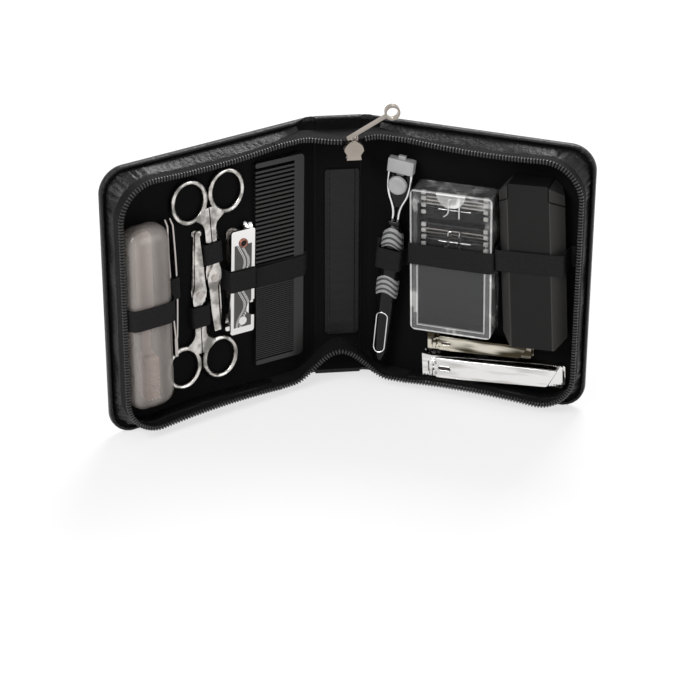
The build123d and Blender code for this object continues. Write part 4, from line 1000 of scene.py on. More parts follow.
satin_steel = finish(
    "satin_steel",
    brushed_pattern((0.36, 0.33, 0.31), (0.62, 0.58, 0.55), 1500.0, 60.0, (0, 0, 0), 0.2, 0.38),
    Metallic=1.0,
)
dress(satin_steel, "tweezers_fixed_arm", "tweezers_spring_arm")
tweezers_place = shift(left, -94.3, 43.4, seat_height, 0.8)
sewn_band("tweezers_band", "left", tweezers_place, -2.4, 2.4, 8.0, 85.0 * 0.44, (0, band_foot))

# ---- Scissors ----
# Two pairs of small nickel-plated scissors, forged and polished, with round finger rings.
# The hair scissors end in balls. Each pair turns on a slotted screw.
ring_width, ring_height, ring_wire, blade_layer, layer_gap, shank = 23.6, 27.6, 3.0, 1.5, 0.08, 4.6
pairs = (
    ("nail_scissors", shift(left, -68.6, 134.6, seat_height, 3.2), 51.0, 34.0, 5.2, 0.0, 41.5),
    ("hair_scissors", shift(left, -75.0, 31.4, seat_height, 181.0), 44.0, 38.0, 3.0, 2.1, 37.0),
)
dress(satin_steel, *(f"{name}_screw" for name, *rest in pairs))


def forged_pattern(at, uv):
    """Polished plate over forged steel: soft hollows in the bump, a painted reflection that is dark in them
    and bright on the rises, and fine scratches along the tool.
    """
    scratch = at.make("Mapping", {}, {"Vector": at, "Scale": (1300.0, 1300.0, 90.0)}).noise(1.0, 4.0)
    hollow = at.noise(120.0, 2.0).between(0.32, 0.62)
    normal = scratch.bump(0.00005, 0.4, hollow.bump(0.0006, 0.35))
    # Painted reflection: the colour follows hollow, dark in the hollows and bright on the rises.
    return {
        "Base Color": hollow.tint((0.22, 0.21, 0.195), (0.72, 0.69, 0.66)),
        "Roughness": scratch * 0.16 + 0.14, "Normal": normal
    }


forged = finish("polished_scissors", forged_pattern, Metallic=1.0)


def tube(points, radius, normal, sides=12, flat=1.0):
    """Round wire along a run of points: circles square to the run, measured from one fixed normal."""
    points = np.asarray(points, float)
    run = np.gradient(points, axis=0)
    run /= np.linalg.norm(run, axis=1)[:, None]
    aside = np.cross(run, normal)
    aside /= np.linalg.norm(aside, axis=1)[:, None]
    over = np.cross(aside, run)
    turn = np.linspace(0, 2 * math.pi, sides + 1)[:-1]
    radius = np.broadcast_to(radius, (len(points),))[:, None, None]
    round_part = aside[:, None] * np.cos(turn)[None, :, None] + over[:, None] * (
        np.sin(turn) * flat
    )[None, :, None]
    return points[:, None] + round_part * radius


def scissor_rows(hand, arm, blade, tip):
    """Rows (y, inner x, outer x, low, high, bevel) of a half, from its ring down to its point."""
    thick = 2 * blade_layer + layer_gap
    low = blade_layer + layer_gap if hand > 0 else 0.0
    high = low + blade_layer
    return [
        (arm - 6.6, 0.25, 3.4, 0.3, thick - 0.3, 0.5), (arm - 8.6, 0.25, 6.2, 0.1, thick - 0.1, 0.6),
        (arm - 10.6, 0.25, 8.5, 0.0, thick, 0.7), (arm - 12.2, 0.25, 9.8, 0.0, thick, 0.7),
        (arm - 13.2, 0.25, 8.7, 0.0, thick, 0.7), (arm - 14.6, 0.25, 6.7, 0.0, thick, 0.7),
        (arm - 16.6, 0.25, 4.7, 0.0, thick, 0.9), (arm - 19.5, 0.25, 3.8, 0.0, thick, 0.9),
        (shank * 2.2, 0.25, 3.6, 0.0, thick, 0.9), (shank * 2.0, 0.25, 3.6, low, high, 0.6),
        (shank, -2.6, 4.5, low, high, 0.5), (shank * 0.4, -4.2, 4.6, low, high, 0.4),
        (-shank * 0.3, -4.6, 4.2, low, high, 0.4),
        (-shank * 0.8, -4.5, 3.0, low, high, 1.0), (-shank * 1.3, -4.0, 2.6, low, high, 1.4),
        (-blade * 0.6, -tip * 0.45 - 1.5, tip * 0.3 + 0.8, low, high, 1.5),
        (-blade, -tip * 0.5, tip * 0.4, low + 0.2, high - 0.1, 0.8),
    ]


def forged_half(place, hand, arm, blade, tip):
    """Loft through the rows: each is a flat bar with chamfered edges and a wide bevel on one side."""
    rows = []
    for y, inner, outer, low, high, bevel in scissor_rows(hand, arm, blade, tip):
        c = min(0.35, (high - low) * 0.3)
        ring = [
            (inner + c, low), (outer - c, low), (outer, low + c), (outer, high - bevel * 0.6),
            (outer - bevel, high), (inner + c, high), (inner, high - c), (inner, low + c),
        ]
        rows.append([(hand * x, y, h) for x, h in ring])
    return world(place, np.array(rows))


for name, place, arm, blade, tip, ball, reach in pairs:
    pivot = shift(place, 0, -arm)
    for part, hand in (("back", -1), ("front", 1)):
        body = f"{name}_{part}" if (part == "front") == (name == "nail_scissors") else name
        node = f"{name}_{part}_half"
        bar = surface(f"{name}_{part}_bar", forged_half(pivot, hand, arm, blade, tip), forged, 28)
        fit(bar, body, "satin_steel", node)
        start = -math.pi / 2 - hand * 0.5
        spin = start + np.linspace(0.004, 2 * math.pi - 0.004, 97)
        ring = np.stack([
            hand * (ring_width / 2 + 0.25) + (ring_width - ring_wire) / 2 * np.cos(spin),
            arm + (ring_height - ring_wire) / 2 * np.sin(spin),
            np.full(97, blade_layer + layer_gap / 2),
        ], -1)
        loop = surface(
            f"{name}_{part}_ring", tube(world(pivot, ring), ring_wire / 2 * MM, pivot[3], 16),
            forged, 60
        )
        fit(loop, body, "satin_steel", node)
        if ball:
            dome = np.linspace(-math.pi / 2 + 0.1, math.pi / 2 - 0.1, 9)
            turn = np.linspace(0, 2 * math.pi, 25)[:-1]
            level = (blade_layer + layer_gap if hand > 0 else 0) + blade_layer / 2
            knob = np.stack(np.broadcast_arrays(
                -hand * tip * 0.3 + ball * np.cos(dome)[:, None] * np.cos(turn)[None],
                -blade + ball * np.cos(dome)[:, None] * np.sin(turn)[None],
                level + blade_layer / 2 * np.sin(dome)[:, None],
            ), -1)
            fit(surface(f"{name}_{part}_ball", world(pivot, knob), forged, 60), body, "satin_steel", node)
    sewn_band(
        f"{name}_band", "left", place, -shank, shank, 2 * blade_layer + layer_gap, -reach,
        (band_foot * 0.7, 0)
    )

# ---- Pocket tool ----
# Two chrome-plated brass scales with a sunken, engraved panel, over a knife and a file. An
# eyelet near the head takes a key ring.
pocket_place = shift(left, -51.2, 46.0, seat_height, -1.8)
pocket_width, pocket_length, pocket_depth = 15.4, 65.0, 7.2


def engraved_pattern(at, uv):
    """Bright scale with a dark sunken panel, where a feathered ribbon winds over fine hatching."""
    x, y = along_place(at, pocket_place)[:2]
    sunk = (x.maths("ABSOLUTE") - 5.7).maths(
        "MAXIMUM", (y - 30.0).maths("ABSOLUTE") - 26.0
    ).between(0.25, -0.25)
    curl = (
        x + (y * (2 * math.pi / 27.0) + 0.6).maths("SINE") * 2.5 + at.noise(150.0) * 1.6 - 0.8
    ).maths("ABSOLUTE")
    ribbon = curl.between(2.2, 1.9)
    vein = curl.between(0.45, 0.2)
    feather = (y * 1.6 + curl * 1.5).wave(2.1).between(0.3, 0.6)
    hatch = (y + x * 0.8).wave(1.0).between(0.3, 0.7)
    shine = ribbon * (feather * 0.62 + 0.1) * (1 - vein)
    cut = sunk * (0.97 - shine - hatch * 0.1 * (1 - ribbon))
    smear = at.noise(60.0, 4.0)
    colour = (cut * 0.95 + smear * 0.05).tint((0.84, 0.83, 0.82), (0.012, 0.011, 0.011))
    return {
        "Base Color": colour, "Roughness": cut * 0.3 + smear * 0.1 + 0.05,
        "Normal": cut.bump(0.0002, -0.7)
    }


engraved = finish("engraved_chrome", engraved_pattern, Metallic=1.0)
chrome = finish(
    "polished_chrome", plate_pattern((0.74, 0.73, 0.73), (0.86, 0.85, 0.85), 0.04, 0.14),
    Metallic=1.0
)
dress(engraved, "pocket_tool_scales")
dress(chrome, "pocket_tool_rivets")
dress(satin_steel, "pocket_tool_knife", "pocket_tool_file")
copper = finish("copper_eyelet", plate_pattern((0.2, 0.07, 0.05), (0.42, 0.2, 0.15), 0.2, 0.4), Metallic=1.0)
spin = np.linspace(0.01, 2 * math.pi - 0.01, 41)
eyelet = np.stack(
    [2.2 * np.cos(spin), pocket_length - 8.0 + 2.2 * np.sin(spin), np.full(41, pocket_depth + 0.4)],
    -1
)
eyelet = surface(
    "pocket_eyelet", tube(world(pocket_place, eyelet), 0.55 * MM, pocket_place[3], 10), copper, 60
)
fit(eyelet, "pocket_tool", "chrome")
# Painted shade: a near-black plug stands in the eyelet's hole.
hollow = finish(
    "eyelet_painted_shade", lambda at,
    uv: {"Base Color": at.noise(900.0).tint((0.001, 0.001, 0.001), (0.004, 0.003, 0.003))},
    Roughness=0.9
)
dot = np.stack([1.9 * np.cos(spin[:-1]), pocket_length - 8.0 + 1.9 * np.sin(spin[:-1])], -1)
dot = np.stack([np.c_[dot, np.full(40, pocket_depth + level)] for level in (-0.3, 0.62)])
fit(surface("pocket_eyelet_shade_plug", world(pocket_place, dot), hollow, 60), "pocket_tool", "black_gloss")
sewn_band(
    "pocket_band", "left", pocket_place, -pocket_width / 2, pocket_width / 2, pocket_depth,
    pocket_length * 0.42, (1.0, 0)
)

# ---- Comb ----
# Sawn comb of dark grey plastic: coarse teeth above, fine teeth below, with a thick spine.
comb_length, comb_width, comb_thickness = 128.0, 31.5, 4.0
comb_place = shift(left, -24.2, 19.0, seat_height, -0.8)


def comb_pattern(at, uv):
    """Dark grey plastic with saw marks and a worn gloss."""
    marks = at.noise(900.0, 3.0)
    cloud = at.noise(30.0, 3.0)
    return {
        "Base Color": cloud.tint((0.006, 0.0058, 0.0056), (0.016, 0.0155, 0.015)),
        "Roughness": marks * 0.2 + 0.28, "Normal": marks.bump(0.00006, 0.4)
    }


comb_plastic = finish("comb_plastic", comb_pattern)
dress(comb_plastic, "comb")
sewn_band(
    "comb_band", "left", comb_place, -comb_width / 2, comb_width / 2, comb_thickness,
    comb_length * 0.4, (0, band_foot)
)

# ---- Razor handle ----
# Glossy black handle with ridged grey rubber grips and a silver badge outline. A wire neck
# carries the head block, which a cartridge clips onto, and the round ejector button.
razor_width, razor_depth, razor_length = 12.6, 11.0, 92.0
razor_place = shift(right, 11.2, 12.4, seat_height + 0.55, -5.6)


def gloss_pattern(at, uv):
    """Piano black moulding: nearly even, with faint wipe marks in the polish."""
    wipe = at.noise(55.0, 4.0)
    return {
        "Base Color": wipe.tint((0.002, 0.002, 0.0023), (0.006, 0.0057, 0.006)),
        "Roughness": wipe * 0.1 + 0.08
    }


black_gloss = finish("black_gloss", gloss_pattern, Specular_IOR_Level=0.25)


def rubber_pattern(at, uv):
    """Grey rubber in stacked crescents: light ridges, and grooves that arch over the front, darkened as
    painted shade.
    """
    x, y = along_place(at, razor_place)[:2]
    speck = at.noise(800.0, 3.0)
    ridge = (y + x * x * 0.13 + 0.5).wave(3.3).between(0.22, 0.5)
    # Painted shade: the grooves between the ridges are painted nearly black.
    colour = (ridge * 0.8 + speck * 0.2).tint((0.03, 0.03, 0.031), (0.36, 0.36, 0.365))
    return {"Base Color": colour, "Normal": ridge.bump(0.0005, 0.8, speck.bump(0.00008, 0.5))}


grey_rubber = finish("grey_rubber", rubber_pattern, Roughness=0.6)


def grey_pattern(at, uv):
    """Light grey moulded plastic with a fine spark-eroded skin."""
    skin = at.noise(1200.0, 3.0)
    cloud = at.noise(60.0, 2.0)
    return {
        "Base Color": cloud.tint((0.3, 0.3, 0.305), (0.42, 0.42, 0.425)),
        "Roughness": skin * 0.15 + 0.35, "Normal": skin.bump(0.00005, 0.5)
    }


grey_plastic = finish("grey_plastic", grey_pattern)
dress(grey_plastic, "razor_plunger")
handle_turn = np.linspace(0, 2 * math.pi, 65)[:-1]


def handle_section(y):
    """Half width and half depth of the handle at y: smooth steps between six sections."""
    shares = np.array([0, 0.06, 0.45, 0.8, 0.93, 1.0]) * razor_length
    near = np.asarray(y, float)[..., None] + np.linspace(-4, 4, 9)
    width = np.interp(near, shares, np.array([0.46, 0.8, 0.96, 1.0, 0.9, 0.56])).mean(-1) * razor_width / 2
    depth = np.interp(near, shares, np.array([0.5, 0.78, 0.95, 1.0, 0.9, 0.6])).mean(-1) * razor_depth / 2
    return width, depth


def handle_shell(ys, swell, arch=0.0):
    """Ellipses up the handle, swollen by an amount per row, each row arching upwards over the front."""
    front = np.clip(np.sin(handle_turn), 0, 1) ** 2
    y = np.broadcast_to(ys[:, None], (len(ys), len(handle_turn))) + arch * (front - 0.5)[None]
    width, depth = handle_section(y)
    x = (width + swell[:, None]) * np.cos(handle_turn)[None]
    h = razor_depth / 2 + (depth + swell[:, None]) * np.sin(handle_turn)[None]
    return world(razor_place, np.stack([x, y, h], -1))


round_foot, round_top = [0, 0.15, 0.5, 1.1], [razor_length - 1.0, razor_length - 0.4, razor_length]
ends = np.concatenate([round_foot, np.linspace(2, razor_length - 2, 80), round_top])
edge = np.minimum(ends, razor_length - ends)
handle = surface(
    "razor_body", handle_shell(ends, -1.3 * (1 - np.sqrt(np.clip(edge / 1.4, 0, 1)))), black_gloss,
    60
)
fit(handle, "razor", "black_gloss", "razor_handle")
for part, low in (("low", 46.0), ("high", 77.0)):
    ys = np.linspace(low, low + 12.0, 70)
    swell = 0.75 * np.sqrt(np.clip(np.minimum(ys - low, low + 12.0 - ys) / 2.4, 0, 1)) - 0.25
    grip = surface(f"razor_grip_{part}", handle_shell(ys, swell, 4.5), grey_rubber, 50)
    fit(grip, "razor", "grey_rubber", "razor_grips")
badge_width, badge_length, badge_middle = 6.6, 27.0, 21.8
along = np.linspace(0, 1, 121)
lap = (badge_length - badge_width) * 2 + math.pi * badge_width
run = along * lap
half_run, bend = badge_length - badge_width, math.pi * badge_width / 2
r = badge_width / 2
stages = [
    run < half_run, (run >= half_run) & (run < half_run + bend),
    (run >= half_run + bend) & (run < 2 * half_run + bend), run >= 2 * half_run + bend
]
a1, a2 = (run - half_run) / r, (run - 2 * half_run - bend) / r
badge_x = np.select(stages, [np.full(121, r), r * np.cos(a1), np.full(121, -r), -r * np.cos(a2)])
badge_y = np.select(
    stages,
    [
        run - half_run / 2, half_run / 2 + r * np.sin(a1), half_run / 2 - (run - half_run - bend),
        -half_run / 2 - r * np.sin(a2)
    ]
)
badge_half, badge_deep = handle_section(badge_y + badge_middle)
badge_h = razor_depth / 2 + badge_deep * np.sqrt(1 - (badge_x / badge_half) ** 2) + 0.12
line = np.stack([badge_x, badge_y + badge_middle, badge_h], -1)
badge = surface(
    "razor_badge_line", tube(world(razor_place, line), 0.42 * MM, razor_place[3], 10, 0.7), chrome,
    60
)
fit(badge, "razor", "chrome", "razor_badge")
for hand in (-1, 1):
    run = rounded(
        [
            (hand * 1.6, razor_length - 1), (hand * 1.7, razor_length + 9.7),
            (hand * 6.4, razor_length + 20.0), (hand * 6.6, razor_length + 33.4)
        ],
        7.0, 12
    )
    line = np.stack(
        [run[:, 0], run[:, 1], razor_depth / 2 + 1.2 * smooth_step((run[:, 1] - razor_length) / 30)],
        -1
    )
    wire = surface(
        f"razor_wire_{'left' if hand < 0 else 'right'}",
        tube(world(razor_place, line), 0.95 * MM, razor_place[3], 12), chrome, 60
    )
    fit(wire, "razor", "chrome", "razor_neck")


def soft_block(place, x, y, h, edge):
    """Box between two corners with every edge rounded: rings along y, drawn in at both ends."""
    (x0, x1), (y0, y1), (h0, h1) = x, y, h
    turn = np.linspace(0, math.pi / 2, 5)
    into = edge * (1 - np.sin(turn))
    rows = [(y0 + edge * (1 - np.cos(t)), d) for t, d in zip(turn, into)]
    rows += [(y1 - edge * (1 - np.cos(t)), d) for t, d in zip(turn[::-1], into[::-1])]
    grid = []
    for spot, d in rows:
        ring = soft_box(x1 - x0 - 2 * d, h1 - h0 - 2 * d, max(edge - d, 0.02), 4)
        across, off = ring[:, 0] + (x0 + x1) / 2, ring[:, 1] + (h0 + h1) / 2
        grid.append(np.stack([across, np.full(len(ring), spot), off], -1))
    return world(place, np.array(grid))


head_foot = razor_length + 32.4
paddle_y = np.linspace(razor_length + 11, razor_length + 31, 30)
paddle_half = 5.9 * np.sin(np.clip((paddle_y - razor_length - 9.5) / 13.0, 0, 1) * math.pi / 2) ** 0.8
turn = np.linspace(0, 2 * math.pi, 25)[:-1]
paddle = np.stack(np.broadcast_arrays(
    paddle_half[:, None] * np.cos(turn)[None], paddle_y[:, None], 6.3 + (
        0.8 + 0.25 * np.sin(turn)[None]
    ) * np.sin(turn)[None]
), -1)
fit(
    surface("razor_paddle", world(razor_place, paddle), black_gloss, 60), "razor", "black_gloss",
    "razor_neck"
)
head = surface(
    "razor_head_block",
    soft_block(razor_place, (-7.7, 7.7), (head_foot, head_foot + 8.6), (3.0, 8.6), 0.8),
    grey_plastic, 40
)
fit(head, "razor", "grey_plastic", "razor_neck")
collar = soft_block(razor_place, (-3.5, 3.5), (razor_length - 0.6, razor_length + 2.0), (2.4, 8.6), 0.9)
fit(surface("razor_neck_collar", collar, black_gloss, 40), "razor", "black_gloss", "razor_neck")
button_profile = (
    (5.2, 0.0), (5.6, 0.35), (5.6, 1.5), (5.3, 2.2), (4.6, 2.6), (3.6, 2.5), (2.2, 2.15),
    (0.9, 1.95), (0.3, 1.92)
)
turn = np.linspace(0, 2 * math.pi, 41)[:-1]
button_y, button_level = head_foot - 5.6 - 0.88, 8.6 + 0.15
dish = [
    [(r * math.cos(t), button_y + r * math.sin(t), button_level + h) for t in turn] for r,
    h in button_profile
]
fit(
    surface("razor_eject_button", world(razor_place, np.array(dish)), grey_plastic, 40),
    "razor_ejector", "grey_plastic", "razor_button"
)
sewn_band(
    "razor_band", "right", razor_place, -razor_width / 2, razor_width / 2, razor_depth,
    78.0 - band_width - 0.5, (band_foot, band_foot)
)

# ---- Blade dispenser ----
# Clear moulded cover over a dark tray with two razor cartridges. The walls of the cover
# carry a painted highlight where they are seen edge on, and its lower panel is frosted.
dispenser_width, dispenser_length, dispenser_depth = 48.2, 88.6, 15.0
dispenser_place = shift(right, 57.3, 42.8, seat_height, 1.1)


def cover_pattern(at, uv):
    """Clear, with painted highlights where its walls are seen edge on, a frosted thumb tab and lower panel.
    """
    x, y, h = along_place(at, dispenser_place)
    haze = at.noise(160.0, 5.0)
    aside = x.maths("ABSOLUTE")
    near_side = aside.between(dispenser_width / 2 - 1.2, dispenser_width / 2 - 0.7)
    near_end = (y - dispenser_length / 2).maths("ABSOLUTE").between(
        dispenser_length / 2 - 1.2, dispenser_length / 2 - 0.7
    )
    near_front = h.between(dispenser_depth - 1.2, dispenser_depth - 0.7)
    rim = (near_side + near_end + near_front).between(1.3, 1.8)
    inner = (aside - dispenser_width / 2 + 4.2).maths("MAXIMUM", (y - 42.0).maths("ABSOLUTE") - 38.4)
    panel = y.between(42.0, 41.4)
    frame_part = inner.between(-0.2, 0.2)
    # Painted highlight: bright, more opaque lines where the walls and the inner frame are seen edge on.
    lines = rim.maths("MAXIMUM", inner.maths("ABSOLUTE").between(0.5, 0.2) * panel)
    tab = (x * x + (y - dispenser_length) * (y - dispenser_length)).maths("SQRT").between(8.8, 8.4)
    inset = panel * (1 - frame_part)
    streak = at.noise(90.0, 2.0).between(0.52, 0.66) * frame_part
    colour = (
        haze * 0.2 + lines * 0.6 + streak * 0.5 + tab * 0.3 + frame_part * 0.15 - inset * 0.3
    ).tint((0.06, 0.06, 0.062), (0.9, 0.9, 0.89))
    alpha = haze * 0.1 + lines * 0.42 + streak * 0.2 + frame_part * (
        0.06 + panel * 0.16
    ) + tab * near_front * 0.42 + inset * 0.34 + 0.03
    return {
        "Base Color": colour, "Roughness": haze * 0.16 + 0.05, "Alpha": alpha,
        "Normal": haze.bump(0.0004, 0.3)
    }


clear = finish("clear_plastic", cover_pattern, Specular_IOR_Level=0.6)
dress(clear, "dispenser_cover")


def tray_pattern(at, uv):
    """Dark grey frosted moulding with a faint cloudiness."""
    cloud = at.noise(90.0, 3.0)
    return {
        "Base Color": cloud.tint((0.02, 0.02, 0.021), (0.05, 0.05, 0.051)),
        "Normal": cloud.bump(0.0005, 0.3)
    }


tray_plastic = finish("tray_plastic", tray_pattern, Roughness=0.5, Specular_IOR_Level=0.3)
dress(tray_plastic, "dispenser_tray")


def steel_edge_pattern(at, uv):
    """Thin blade steel, bright on its ground edge."""
    streak = at.make("Mapping", {}, {"Vector": at, "Scale": (90.0, 90.0, 2200.0)}).noise(1.0, 3.0)
    return {"Base Color": streak.tint((0.22, 0.2, 0.18), (0.6, 0.57, 0.53)), "Roughness": streak * 0.2 + 0.2}


blade_steel = finish("blade_steel", steel_edge_pattern, Metallic=1.0)
dress(blade_steel, "cartridge_blades")
ivory = finish(
    "ivory_plastic", lambda at,
    uv: {"Base Color": at.noise(400.0).tint((0.5, 0.49, 0.46), (0.72, 0.71, 0.68))}, Roughness=0.35
)
inner_length = dispenser_length - 1.3 - 0.1
for number, middle in enumerate(inner_length - 20.0 * (index + 0.5) - 0.6 for index in range(2)):
    parts = [
        ("floor", (-20.5, 20.5), (middle - 8.5, middle + 8.5), (1.35, 4.2), 0.5),
        ("guard", (-20.5, 20.5), (middle - 8.5, middle - 0.6), (3.6, 7.2), 0.9),
        ("cap", (-20.5, 20.5), (middle + 6.6, middle + 8.5), (3.6, 6.4), 0.6),
    ]
    for part, x, y, h, edge in parts:
        block = surface(
            f"cartridge_{number}_{part}", soft_block(dispenser_place, x, y, h, edge), black_gloss,
            40
        )
        fit(block, "dispenser", "black_gloss", "cartridge_frames")
    for hand in (-1, 1):
        for row, offset in enumerate((-5.6, -1.4, 2.8, 6.4)):
            a, b = sorted((hand * 17.0, hand * 19.8))
            edge = soft_block(
                dispenser_place, (a, b), (middle + offset, middle + offset + 2.4), (6.0, 8.0), 0.4
            )
            fit(
                surface(f"cartridge_{number}_stop_{row}_{hand + 1}", edge, ivory, 40), "dispenser",
                "grey_plastic", "cartridge_frames"
            )
    for part, run in (
        ("hook", [(-1.6, middle + 5.4), (-3.6, middle + 5.4), (-3.6, middle - 3.6), (-6.4, middle - 5.6)]),
        ("bar", [(3.4, middle + 5.6), (2.8, middle + 2.0), (2.8, middle - 5.8)]),
        ("rib", [(-9.5, middle - 1.6), (9.5, middle - 1.6)]),
    ):
        line = rounded(run, 1.8, 8) if len(run) > 2 else np.linspace(run[0], run[1], 6)
        level = 8.2 if part != "rib" else 7.3
        line = np.concatenate([line, np.full((len(line), 1), level)], 1)
        clip = tube(
            world(dispenser_place, line), (0.62 if part != "rib" else 0.3) * MM, dispenser_place[3],
            10
        )
        fit(
            surface(f"cartridge_{number}_{part}", clip, chrome, 60), "dispenser", "chrome",
            "cartridge_frames"
        )
sewn_band(
    "dispenser_band", "right", dispenser_place, -dispenser_width / 2, dispenser_width / 2, dispenser_depth,
    dispenser_length * 0.48, (band_foot, 0),
)

# ---- Slim case ----
# Flat pull-off case of matt black plastic with bevelled long sides. Fine grooves mark off
# the pull-off end: slanted across the bevels and straight up beside the middle face.
slim_width, slim_depth, slim_length = 38.0, 14.0, 102.0
slim_place = shift(right, 105.6, 41.6, seat_height, 3.5)


def matt_pattern(at, uv):
    """Matt black with the grain of an etched mould, rubbed streaks, the grooves of the end and a painted
    highlight on the bevels.
    """
    x, y = along_place(at, slim_place)[:2]
    skin = at.noise(1500.0, 3.0)
    rubbed = at.noise(30.0, 4.0)
    aside = x.maths("ABSOLUTE")
    slant = (y + aside * 0.8 - 102.6).maths("ABSOLUTE").between(0.6, 0.25) * aside.between(11.6, 11.8)
    upright = (aside - 11.7).maths("ABSOLUTE").between(0.55, 0.25) * y.between(93.0, 93.4)
    groove = slant.maths("MAXIMUM", upright)
    # Painted highlight: the bevels along the long sides are painted lighter than the middle face.
    bevel = aside.between(11.7, 12.1)
    colour = (rubbed * 0.1 + bevel * 0.45 + 0.02 - groove * 1.5).tint(
        (0.001, 0.001, 0.001), (0.075, 0.072, 0.07)
    )
    normal = groove.bump(0.0006, -1.0, skin.bump(0.00006, 0.6))
    return {"Base Color": colour, "Roughness": rubbed * 0.15 + 0.45 + groove * 0.4, "Normal": normal}


matt_black = finish("matt_black", matt_pattern, Specular_IOR_Level=0.2)
dress(matt_black, "slim_case_body", "slim_case_cap")
sewn_band(
    "slim_band", "right", slim_place, -slim_width / 2, slim_width / 2, slim_depth,
    slim_length * 0.47, (0, band_foot)
)

# ---- Nail clippers ----
# Two chrome-plated clippers lying on their sides, jaws towards the spine. Each lever is a
# pressed strip with soft edges, a slot near the pin and a rolled barrel at its end.
leaf_thickness, lever_thickness, barrel_radius, fork_reach = 1.5, 1.3, 1.5, 2.3


def mirror_pattern(dark, bright, cuts):
    """Mirror plate that shows long soft reflections: bands that run with the clipper."""

    def pattern(at, uv):
        band = at.make("Mapping", {}, {"Vector": at, "Scale": (26.0, 26.0, 190.0)}).noise(1.0, 2.0)
        marks = at.noise(500.0, 4.0)
        sheen = band.between(cuts[0], cuts[1])
        return {
            "Base Color": sheen.tint(dark, bright), "Roughness": marks * 0.08 + 0.04,
            "Normal": band.bump(0.0012, 0.2)
        }

    return pattern


large_plate = finish(
    "large_clipper_plate", mirror_pattern((0.62, 0.6, 0.58), (0.88, 0.87, 0.86), (0.3, 0.5)),
    Metallic=1.0
)
small_plate = finish(
    "small_clipper_plate", mirror_pattern((0.05, 0.04, 0.025), (0.7, 0.66, 0.56), (0.42, 0.62)),
    Metallic=1.0
)
slot_shadow = finish(
    "slot_shadow", lambda at,
    uv: {"Base Color": at.noise(300.0).tint((0.012, 0.008, 0.008), (0.05, 0.03, 0.028))},
    Roughness=0.4
)


def pressed_strip(place, outline, foot):
    """Rings of one outline: edges rounded over the thickness, heights following a profile in x."""
    outline = np.asarray(outline, float)
    ring = rounded(
        np.concatenate([[(outline[0] + outline[-1]) / 2], outline, [(outline[0] + outline[-1]) / 2]]),
        1.2, 6
    )[:-1]
    steps = np.linspace(0, 1, 9)[:-1, None]
    ring = np.concatenate([a * (1 - steps) + b * steps for a, b in zip(ring, np.roll(ring, -1, axis=0))])
    middle = (ring.min(0) + ring.max(0)) / 2
    half = (ring.max(0) - ring.min(0)) / 2
    rows = [(0.03, 0.0), (0.35, 0.0), (0.7, 0.0), (0.93, 0.0)]
    grid = []
    for share, up in rows + [("edge", k) for k in range(7)] + [
        (0.93, 1.0), (0.7, 1.0), (0.35, 1.0), (0.03, 1.0)
    ]:
        if share == "edge":
            inset = (0.35, 0.1, 0.0, 0.0, 0.06, 0.2, 0.45)[up]
            rise = (0.0, 0.12, 0.35, 0.7, 0.86, 0.96, 1.0)[up]
            spot = middle + (ring - middle) * (1 - inset / half)
        else:
            spot, rise = middle + (ring - middle) * share, up
        height = foot(spot[:, 0]) + rise * lever_thickness
        grid.append(np.concatenate([spot, height[:, None]], 1))
    return world(place, np.array(grid))


